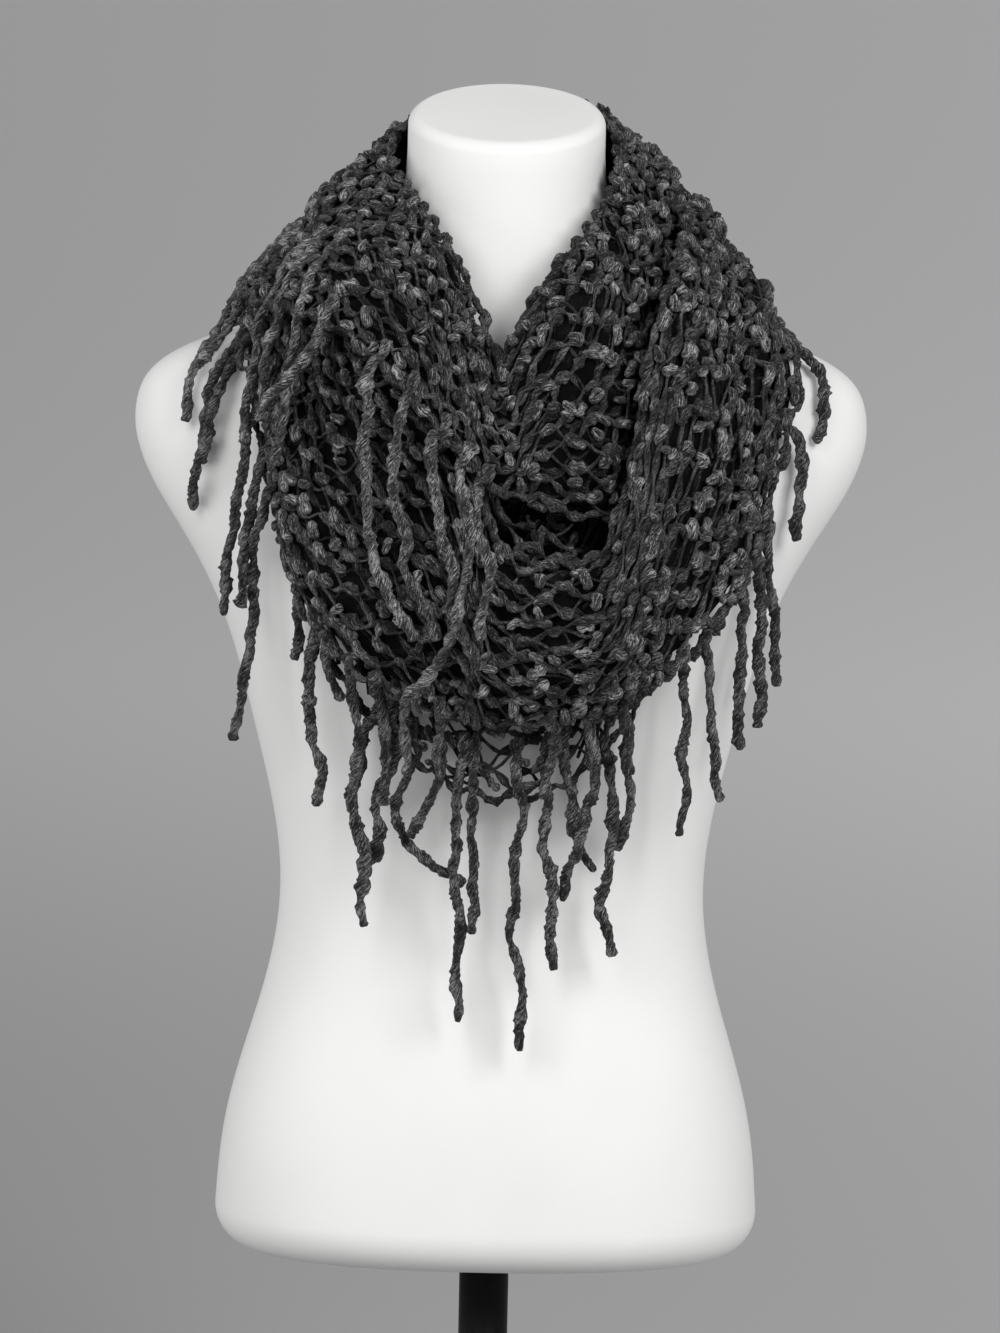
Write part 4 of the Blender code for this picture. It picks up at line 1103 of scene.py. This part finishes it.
def form_surface(sizes):
    """The form as rings: a cubic B-spline through the table's rows, each a superellipse.

    A ring's point at angle q is (w |sin q|^(2/e), -d |cos q|^(2/e)) with the signs of sin and
    cos, d being the front or the back depth, plus the bust's soft rise and the cap's slope.
    Both ends are turned in over a quarter circle and closed flat.
    """
    rows = np.array(FORM_RINGS)
    padded = np.concatenate([2 * rows[:1] - rows[1:2], rows, 2 * rows[-1:] - rows[-2:-1]])
    places = np.linspace(0, len(rows) - 1, (len(rows) - 1) * sizes.form_rows + 1)
    whole = np.minimum(places.astype(int), len(rows) - 2)
    t = (places - whole)[:, None]
    weights = (
        (1 - t) ** 3 / 6,
        (3 * t**3 - 6 * t**2 + 4) / 6,
        (-3 * t**3 + 3 * t**2 + 3 * t + 1) / 6,
        t**3 / 6,
    )
    body = sum(weight * padded[whole + offset] for offset, weight in enumerate(weights))
    turned = np.radians(np.arange(6, 91, 6))[:, None]
    ends = []
    for ring, radius, level, side in (
        (body[0], HEM_ROUND, TORSO_BOTTOM, -1), (body[-1], CAP_ROUND, CAP_HEIGHT, 1)
    ):
        inset = radius * (1 - np.cos(turned))
        height = level - side * radius * (1 - np.sin(turned))
        sides = ring[None, 1:4] - inset
        ends.append(np.hstack([height, sides, np.full_like(height, ring[4])]))
    table = np.concatenate([ends[0][::-1], body, ends[1]])
    height, width, front, back, exponent = (column[:, None] for column in table.T)
    angle = (np.arange(sizes.form_sides) * FULL_TURN / sizes.form_sides)[None, :]
    across, along = np.sin(angle), np.cos(angle)
    x = width * np.sign(across) * np.abs(across) ** (2 / exponent)
    y = -np.where(along > 0, front, back) * np.sign(along) * np.abs(along) ** (2 / exponent)
    rise = BUST["rise"] * np.exp(
        -(((np.abs(x) - BUST["x"]) / BUST["half_width"]) ** 2)
        - ((height - BUST["z"]) / BUST["half_height"]) ** 2
    )
    y = y - rise * np.clip(along * 2, 0, 1)
    slope = CAP_SLOPE * smooth_step((height - SLOPE_START) / (CAP_HEIGHT - SLOPE_START))
    points = np.stack([x * FORM_INSET, y * FORM_INSET, height + y * slope], axis=-1)
    return closed_rings(points)


def closed_rings(points):
    """Quads round a stack of rings, and a flat face at each end."""
    rows, sides = points.shape[:2]
    here = np.arange(rows - 1)[:, None] * sides + np.arange(sides)[None, :]
    beside = np.roll(here, -1, axis=1)
    quads = np.stack([here, beside, beside + sides, here + sides], axis=-1).reshape(-1, 4)
    ends = [np.arange(sides)[::-1], np.arange(sides) + (rows - 1) * sides]
    return points.reshape(-1, 3), quads, ends


def turned_profile(profile, sides):
    """Rings of a profile (radius, height) turned about the vertical axis."""
    angle = np.arange(sides) * FULL_TURN / sides
    radius, height = np.array(profile).T[..., None]
    circle = np.stack([np.cos(angle), np.sin(angle)])
    points = np.stack(
        [radius * circle[0], radius * circle[1], np.broadcast_to(height, (len(profile), sides))],
        axis=-1,
    )
    return closed_rings(points)


def rounded_corner(radius, height, edge, upward, steps=6):
    """Profile points of a quarter circle at a disc's rim, from its side to its flat face."""
    angle = np.linspace(0, np.pi / 2, steps)
    inset = edge * (1 - np.cos(angle))
    rise = edge * (1 - np.sin(angle))
    rows = list(zip(radius - inset, height - rise if upward else height + rise))
    return rows if upward else rows[::-1]


# Finishes
def new_finish(name, roughness, specular):
    """A material with its shader's constant sockets set. Returns it, its nodes and its shader."""
    material = bpy.data.materials.new(name)
    material.use_nodes = True
    tree = material.node_tree
    shader = tree.nodes["Principled BSDF"]
    shader.inputs["Roughness"].default_value = roughness
    shader.inputs["Specular IOR Level"].default_value = specular
    return material, tree, shader


def add_node(tree, kind, inputs=(), **settings):
    """A node with its settings made and its named inputs set to values or linked to sockets."""
    node = tree.nodes.new(kind)
    for key, value in settings.items():
        setattr(node, key, value)
    for key, value in dict(inputs).items():
        if isinstance(value, bpy.types.NodeSocket):
            tree.links.new(value, node.inputs[key])
        else:
            node.inputs[key].default_value = value
    return node


def add_noise(tree, vector, scale, detail, roughness=0.5):
    """Noise over a vector, as a factor."""
    inputs = {"Vector": vector, "Scale": scale, "Detail": detail, "Roughness": roughness}
    return add_node(tree, "ShaderNodeTexNoise", inputs).outputs["Fac"]


def add_math(tree, operation, *values):
    """The result of an operation on values or sockets."""
    return add_node(tree, "ShaderNodeMath", enumerate(values), operation=operation).outputs[0]


def add_range(tree, value, source, target, kind="LINEAR"):
    """A value mapped from one (low, high) to another, and held within it."""
    inputs = {
        "Value": value, "From Min": source[0], "From Max": source[1],
        "To Min": target[0], "To Max": target[1],
    }
    return add_node(tree, "ShaderNodeMapRange", inputs, interpolation_type=kind).outputs["Result"]


def add_ramp(tree, shader, source, stops):
    """The shader's colour from a ramp with (place, colour) stops, read from the source."""
    ramp = add_node(tree, "ShaderNodeValToRGB", {"Fac": source})
    elements = ramp.color_ramp.elements
    for number, (place, colour) in enumerate(stops):
        stop = elements[number] if number < 2 else elements.new(place)
        stop.position = place
        stop.color = (*colour, 1)
    tree.links.new(ramp.outputs["Color"], shader.inputs["Base Color"])


def add_bump(tree, shader, height, strength, distance):
    """The shader's bump from a height."""
    inputs = {"Height": height, "Strength": strength, "Distance": distance}
    bump = add_node(tree, "ShaderNodeBump", inputs)
    tree.links.new(bump.outputs["Normal"], shader.inputs["Normal"])


def object_place(tree):
    """Object coordinates: places on the piece in metres."""
    return tree.nodes.new("ShaderNodeTexCoord").outputs["Object"]


def yarn_finish(name, colours, painted_shade_level):
    """Marled yarn: streaks that run with the twisted fibres, from near black to mid grey.

    The streaks are noise over the fibre attribute (cos p, sin p, length), mixed with a coarser
    noise over the piece, and the same noise gives the bump. The level passed in scales the ramp's
    colours and the sheen weight: painted shade, for darker copies of the yarn deeper in the cloth
    or hanging in shadow.
    """
    material, tree, shader = new_finish(name, roughness=0.92, specular=0.12)
    shader.inputs["Sheen Weight"].default_value = 0.25 * painted_shade_level
    shader.inputs["Sheen Roughness"].default_value = 0.45
    shader.inputs["Sheen Tint"].default_value = (0.85, 0.85, 0.86, 1)
    fibre = add_node(tree, "ShaderNodeAttribute", attribute_name="fibre").outputs["Vector"]
    drawn_out = add_node(tree, "ShaderNodeMapping", {"Vector": fibre, "Scale": (2.0, 2.0, 95.0)})
    streaks = add_noise(tree, drawn_out.outputs["Vector"], 2.6, 4.0, 0.62)
    patches = add_noise(tree, object_place(tree), 95.0, 2.0)
    grain = add_noise(tree, object_place(tree), 800.0, 3.0, 0.7)
    uneven = add_math(tree, "ADD", patches, grain)
    part = add_math(tree, "MULTIPLY_ADD", uneven, MARL_PATCHES, -MARL_PATCHES)
    marl = add_math(tree, "ADD", streaks, part)
    # Painted shade: each copy's colours are scaled down by its level.
    shades = ([channel * painted_shade_level for channel in colour] for colour in colours)
    add_ramp(tree, shader, marl, zip(MARL_STOPS, shades))
    add_bump(tree, shader, marl, 1.0, 0.0022)
    return material


def form_finish(colour):
    """Matt white cover with a fine grain and faint unevenness."""
    material, tree, shader = new_finish("form_cover", roughness=0.68, specular=0.3)
    place = object_place(tree)
    paler = [min(channel * 1.02, 1) for channel in colour]
    darker = [channel * 0.965 for channel in colour]
    add_ramp(tree, shader, add_noise(tree, place, 9.0, 3.0), [(0.3, darker), (0.7, paler)])
    add_bump(tree, shader, add_noise(tree, place, 900.0, 2.0), 0.18, 0.0004)
    return material


def stand_finish(colour):
    """Satin black coated metal with a faint orange-peel surface."""
    material, tree, shader = new_finish("stand_metal", roughness=0.42, specular=0.22)
    place = object_place(tree)
    lighter = [channel * 1.9 for channel in colour]
    add_ramp(tree, shader, add_noise(tree, place, 30.0, 4.0), [(0.4, colour), (0.75, lighter)])
    add_bump(tree, shader, add_noise(tree, place, 650.0, 1.0), 0.12, 0.0003)
    return material


def floor_finish(colour):
    """Plain pale matt floor with painted shade and light: a painted shadow makes it darker round the stand,
    painted light makes it paler to the right, and it glows with its own colour.

    The colour is multiplied by two factors, r being the distance from the stand's axis: a
    smooth step of r from FLOOR_SHADOW_NEAR to 1, and 1 + FLOOR_LIGHT_LEAN x / (FLOOR_SIDE (r + 1)), held
    between 1 - FLOOR_LIGHT_LEAN and 1 + FLOOR_LIGHT_LEAN.
    """
    material, tree, shader = new_finish("floor_paper", roughness=0.95, specular=0.1)
    place = object_place(tree)
    across = add_node(tree, "ShaderNodeSeparateXYZ", {"Vector": place}).outputs["X"]
    away = add_node(tree, "ShaderNodeVectorMath", {0: place}, operation="LENGTH").outputs["Value"]
    # Painted shadow: darker within a few metres of the stand.
    near = add_range(tree, away, (FLOOR_START, FLOOR_FADE), (FLOOR_SHADOW_NEAR, 1.0), "SMOOTHSTEP")
    side = add_math(tree, "DIVIDE", across, add_math(tree, "ADD", away, 1.0))
    # Painted light: paler towards the right.
    lean = add_range(tree, side, (-FLOOR_SIDE, FLOOR_SIDE), (1 - FLOOR_LIGHT_LEAN, 1 + FLOOR_LIGHT_LEAN))
    painted_shading = add_math(tree, "MULTIPLY", near, lean)
    tint = add_node(tree, "ShaderNodeVectorMath", {0: colour, "Scale": painted_shading}, operation="SCALE")
    # Painted glow: the tinted colour is also emitted, though the floor is no lamp.
    for socket in ("Base Color", "Emission Color"):
        tree.links.new(tint.outputs["Vector"], shader.inputs[socket])
    shader.inputs["Emission Strength"].default_value = FLOOR_PAINTED_GLOW
    return material


def count_of(name, description, default):
    """A setting that counts something."""
    return bpy.props.IntProperty(name=name, description=description, default=default)


def length_of(name, description, default):
    """A length in metres."""
    return bpy.props.FloatProperty(name=name, description=description, default=default, unit="LENGTH")


def kind_of(subtype, name, description, default):
    """A number of a kind, such as an angle or a light's power."""
    return bpy.props.FloatProperty(
        name=name, description=description, default=default, subtype=subtype
    )


def colour_of(name, description, default):
    """A colour as linear red, green and blue."""
    return bpy.props.FloatVectorProperty(
        name=name, description=description, default=default, subtype="COLOR"
    )


class ScarfSizes(bpy.types.PropertyGroup):
    """Sizes of the yarn, the knit, the fringe and the form."""

    under_stitches: count_of("Under wrap stitches", "Stitches round the wrap next to the form", 58)
    cowl_stitches: count_of("Cowl stitches", "Stitches round the upper wrap", 58)
    outer_stitches: count_of("Outer wrap stitches", "Stitches round the outer wrap", 66)
    link_radius: length_of("Thin yarn", "Radius of the yarn between its lumps", 0.0009)
    lump_radius: length_of("Yarn lumps", "Usual radius of a lump where two stitches cross", 0.0034)
    cord_radius: length_of("Fringe yarn", "Radius of a fringe cord", 0.0029)
    cord_pitch: length_of("Fringe twist", "Length of one turn of a cord's twist", 0.024)
    cord_sides: count_of("Fringe sides", "Faces round a fringe cord", 10)
    form_sides: count_of("Form sides", "Faces round the dress form", 168)
    form_rows: count_of("Form rows", "Rows of faces between two measured rings", 4)


class ScarfColours(bpy.types.PropertyGroup):
    """Colours of the yarn, the form, the stand and the floor."""

    yarn_dark: colour_of(
        "Darkest fibre", "Colour of the darkest fibres in the marl", (0.003, 0.003, 0.0031)
    )
    yarn_middle: colour_of("Middle fibre", "Colour of most fibres", (0.056, 0.056, 0.057))
    yarn_light: colour_of(
        "Palest fibre", "Colour of the palest fibres in the marl", (0.50, 0.50, 0.505)
    )
    form_white: colour_of("Form", "Colour of the form's cover", (0.80, 0.80, 0.79))
    stand_black: colour_of("Stand", "Colour of the pole and the base", (0.002, 0.002, 0.002))
    floor_grey: colour_of("Floor", "Colour of the floor paper", (0.78, 0.78, 0.785))


class ScarfStudio(bpy.types.PropertyGroup):
    """The camera and the lights."""

    elevation: kind_of(
        "ANGLE", "Camera height", "Angle at which the camera looks down", math.radians(6.5)
    )
    distance: length_of("Camera distance", "From the camera to the middle of the form", 4.5)
    roll: kind_of(
        "ANGLE", "Camera roll", "Lean of the camera about its own line of sight", math.radians(1.16)
    )
    lens: kind_of("NONE", "Lens", "Focal length on a 36 mm frame, in millimetres", 215.0)
    target: bpy.props.FloatVectorProperty(
        name="Aim", description="The point in the middle of the picture",
        default=(0.0022, 0.0, 0.552), subtype="XYZ", unit="LENGTH",
    )
    key_energy: kind_of("POWER", "Key light", "Power of the large soft light at the right", 80.0)
    fill_energy: kind_of("POWER", "Fill light", "Power of the high soft light at the left", 50.0)
    side_energy: kind_of("POWER", "Side light", "Power of the low soft light at the left", 17.0)
    ambient: kind_of("NONE", "Room light", "Strength of the even light from all round", 0.30)


@functools.cache
def yarn_material(painted_shade_level):
    """The finish of the yarn, made once for each depth in the cloth, each copy darkened by its level as
    painted shade.
    """
    colours = bpy.context.scene.scarf_colours
    marl = [list(colours.yarn_dark), list(colours.yarn_middle), list(colours.yarn_light)]
    return yarn_finish(f"yarn_{round(painted_shade_level * 100)}", marl, painted_shade_level)


def knit_wrap(name):
    """One turn of the scarf: its open knit, the stitches behind it, its edges and inner plies, in darker
    copies of the yarn that paint shade.
    """
    sizes = bpy.context.scene.scarf_sizes
    turn = turns()[name]
    plan = dict(
        KNIT_PLANS[name],
        steps=getattr(sizes, name + "_stitches"),
        thin=sizes.link_radius * KNIT_PLANS[name]["thin"] / OPEN_KNIT["thin"],
        lump=sizes.lump_radius * KNIT_PLANS[name]["lump"] / OPEN_KNIT["lump"],
    )
    seed = plan["seed"]
    shares = plan["shares"]
    knit = join_tubes(
        knit_tubes(turn, plan, seed)
        + [edge_tube(turn, share, plan, seed + 20 + number) for number, share in enumerate(EDGE_SHARES)]
    )
    nubs = join_tubes(nub_tubes(turn, plan, shares[0] + 0.02, seed + 40))
    deep = join_tubes(knit_tubes(turn, dict(plan, **DEEP_KNIT), seed + 10))
    plies = inner_plies(turn, shares)
    # Painted shade: the knit is half as bright as the slubs and the deep knit a quarter, all darkened by
    # the turn's own factor, and the plies are a near-black sheet at 3 % that paints the shade inside the
    # bunched cloth.
    painted_shading = plan["painted_shading"]
    front = make_piece(name + "_knit", *knit[:3], yarn_material(0.5 * painted_shading), knit[3])
    lumps = make_piece(name + "_slubs", *nubs[:3], yarn_material(painted_shading), nubs[3])
    behind = make_piece(name + "_deep_knit", *deep[:3], yarn_material(0.25 * painted_shading), deep[3])
    cloth = make_piece(name + "_plies", *plies, [], yarn_material(0.03))
    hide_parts(name + "_wrap")
    for piece in (front, lumps, behind, cloth):
        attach(piece, "root")


class KNIT_OT_form(bpy.types.Operator):
    """Shape the limbless dress form with its neck cap"""

    bl_idname = "scarf.form"
    bl_label = "Dress form"

    def execute(self, context):
        scene = context.scene
        form = make_piece(
            "form_body", *form_surface(scene.scarf_sizes), form_finish(scene.scarf_colours.form_white)
        )
        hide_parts("dress_form")
        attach(form, "root")
        return {"FINISHED"}


class KNIT_OT_stand(bpy.types.Operator):
    """Turn the pole and the round base"""

    bl_idname = "scarf.stand"
    bl_label = "Pole and base"

    def execute(self, context):
        finish = stand_finish(context.scene.scarf_colours.stand_black)
        pole_top = TORSO_BOTTOM - TOUCH_GAP
        pole = [(POLE_RADIUS, BASE_HEIGHT + TOUCH_GAP), (POLE_RADIUS, pole_top)]
        base = rounded_corner(BASE_RADIUS, 0.0, BASE_EDGES[0], upward=False) + rounded_corner(
            BASE_RADIUS, BASE_HEIGHT, BASE_EDGES[1], upward=True
        )
        for name, profile in (("pole", pole), ("base", base)):
            piece = make_piece(name + "_turned", *turned_profile(profile, STAND_SIDES), finish)
            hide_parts(name)
            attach(piece, "root")
        return {"FINISHED"}


class KNIT_OT_under_wrap(bpy.types.Operator):
    """Knit the wrap that lies next to the form"""

    bl_idname = "scarf.under_wrap"
    bl_label = "Under wrap"

    def execute(self, context):
        knit_wrap("under")
        return {"FINISHED"}


class KNIT_OT_cowl_wrap(bpy.types.Operator):
    """Knit the upper wrap that stands round the neck"""

    bl_idname = "scarf.cowl_wrap"
    bl_label = "Cowl"

    def execute(self, context):
        knit_wrap("cowl")
        return {"FINISHED"}


class KNIT_OT_outer_wrap(bpy.types.Operator):
    """Knit the outer wrap that hangs to the chest"""

    bl_idname = "scarf.outer_wrap"
    bl_label = "Outer wrap"

    def execute(self, context):
        knit_wrap("outer")
        return {"FINISHED"}


class KNIT_OT_fringe(bpy.types.Operator):
    """Twist and hang the cords of the fringe"""

    bl_idname = "scarf.fringe"
    bl_label = "Fringe"

    def execute(self, context):
        sizes = context.scene.scarf_sizes
        behind = [walls_of(node) for node in ("dress_form", "under_wrap", "cowl_wrap")]
        over = behind + [walls_of("outer_wrap")]
        placed = []
        hidden = [(node, name, hidden_strands(*plan), start) for node, name, plan, start in HIDDEN_RUNS]
        for number, (node, name, strands, start) in enumerate(FRINGE_RUNS + hidden):
            walls = behind if node == "fringe_outer_left" else over
            # Painted shade: every run but the cowl's takes the under turn's darker yarn copy, for cords
            # hanging in shadow below the wraps.
            painted_shading = 1.0 if name == "cowl" else KNIT_PLANS["under"]["painted_shading"]
            cords = fringe_yarn(turns()[name], strands, walls, placed, start, sizes, 50 + number)
            points, quads, ends, fibre = join_tubes(cords)
            piece = make_piece(node + "_cords", points, quads, ends, yarn_material(painted_shading), fibre)
            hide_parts(node)
            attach(piece, "root")
        return {"FINISHED"}


class KNIT_OT_stage(bpy.types.Operator):
    """Lay the floor, place the camera and light the studio"""

    bl_idname = "scarf.stage"
    bl_label = "Studio"

    def execute(self, context):
        scene = context.scene
        studio = scene.scarf_studio
        corners = [(-FLOOR_REACH, -FLOOR_REACH), (FLOOR_REACH, -FLOOR_REACH)]
        corners += [(FLOOR_REACH, FLOOR_REACH), (-FLOOR_REACH, FLOOR_REACH)]
        points = [(x, y, FLOOR_LEVEL) for x, y in corners]
        floor = make_piece(
            "floor", points, np.array([[0, 1, 2, 3]]), [], floor_finish(scene.scarf_colours.floor_grey)
        )
        place_camera(scene, studio)
        for name, (place, size, power) in LIGHTS.items():
            add_light(name, place, size, getattr(studio, power))
        world = bpy.data.worlds.new("studio")
        world.use_nodes = True
        background = world.node_tree.nodes["Background"]
        background.inputs["Color"].default_value = (*scene.scarf_colours.floor_grey, 1)
        background.inputs["Strength"].default_value = studio.ambient / scene.scarf_colours.floor_grey[0]
        scene.world = world
        scene.view_settings.view_transform = "Standard"
        return {"FINISHED"}


def place_camera(scene, studio):
    """The camera, at its distance from the aim, looking down and leaning by the roll."""
    sine, cosine = math.sin(studio.elevation), math.cos(studio.elevation)
    forward = np.array([0.0, cosine, -sine])
    level = np.array([1.0, 0.0, 0.0])
    upright = np.array([0.0, sine, cosine])
    right = math.cos(studio.roll) * level + math.sin(studio.roll) * upright
    above = math.cos(studio.roll) * upright - math.sin(studio.roll) * level
    place = np.array(studio.target) - studio.distance * forward
    data = bpy.data.cameras.new("camera")
    data.lens = studio.lens
    data.sensor_width = SENSOR_WIDTH
    data.clip_end = 200.0
    camera = bpy.data.objects.new("camera", data)
    matrix = Matrix.Identity(4)
    for column, axis in enumerate((right, above, -forward, place)):
        for row in range(3):
            matrix[row][column] = axis[row]
    camera.matrix_world = matrix
    scene.collection.objects.link(camera)
    scene.camera = camera


def add_light(name, place, size, energy):
    """A square soft light that faces the middle of the form."""
    data = bpy.data.lights.new(name, "AREA")
    data.size = size
    data.energy = energy
    light = bpy.data.objects.new(name, data)
    aim = Vector(bpy.context.scene.scarf_studio.target) - Vector(place)
    light.rotation_mode = "QUATERNION"
    light.rotation_quaternion = aim.to_track_quat("-Z", "Y")
    light.location = place
    bpy.context.scene.collection.objects.link(light)


OPERATORS = (
    KNIT_OT_form, KNIT_OT_stand, KNIT_OT_under_wrap, KNIT_OT_cowl_wrap, KNIT_OT_outer_wrap,
    KNIT_OT_fringe, KNIT_OT_stage,
)


class KNIT_PT_scarf(bpy.types.Panel):
    """Lists the scarf's sizes, colours and pieces"""

    bl_idname = "KNIT_PT_scarf"
    bl_label = "Fringe scarf"
    bl_space_type = "VIEW_3D"
    bl_region_type = "UI"
    bl_category = "Scarf"

    def draw(self, context):
        layout = self.layout
        for operator in OPERATORS:
            layout.operator(operator.bl_idname)
        for group in (context.scene.scarf_sizes, context.scene.scarf_colours, context.scene.scarf_studio):
            box = layout.box()
            for name in group.bl_rna.properties.keys():
                if name not in ("rna_type", "name"):
                    box.prop(group, name)


GROUPS = {"scarf_sizes": ScarfSizes, "scarf_colours": ScarfColours, "scarf_studio": ScarfStudio}


def register():
    """Register the property groups, the operators and the panel."""
    for name, group in GROUPS.items():
        bpy.utils.register_class(group)
        setattr(bpy.types.Scene, name, bpy.props.PointerProperty(type=group))
    for item in (*OPERATORS, KNIT_PT_scarf):
        bpy.utils.register_class(item)


def unregister():
    """Take everything out again, last first."""
    for item in reversed((*OPERATORS, KNIT_PT_scarf)):
        bpy.utils.unregister_class(item)
    for name, group in reversed(GROUPS.items()):
        delattr(bpy.types.Scene, name)
        bpy.utils.unregister_class(group)


def main():
    """Register the add-on and make every piece in order."""
    register()
    for name in ("form", "stand", "under_wrap", "cowl_wrap", "outer_wrap", "fringe", "stage"):
        getattr(bpy.ops.scarf, name)()


if __name__ == "__main__":
    main()
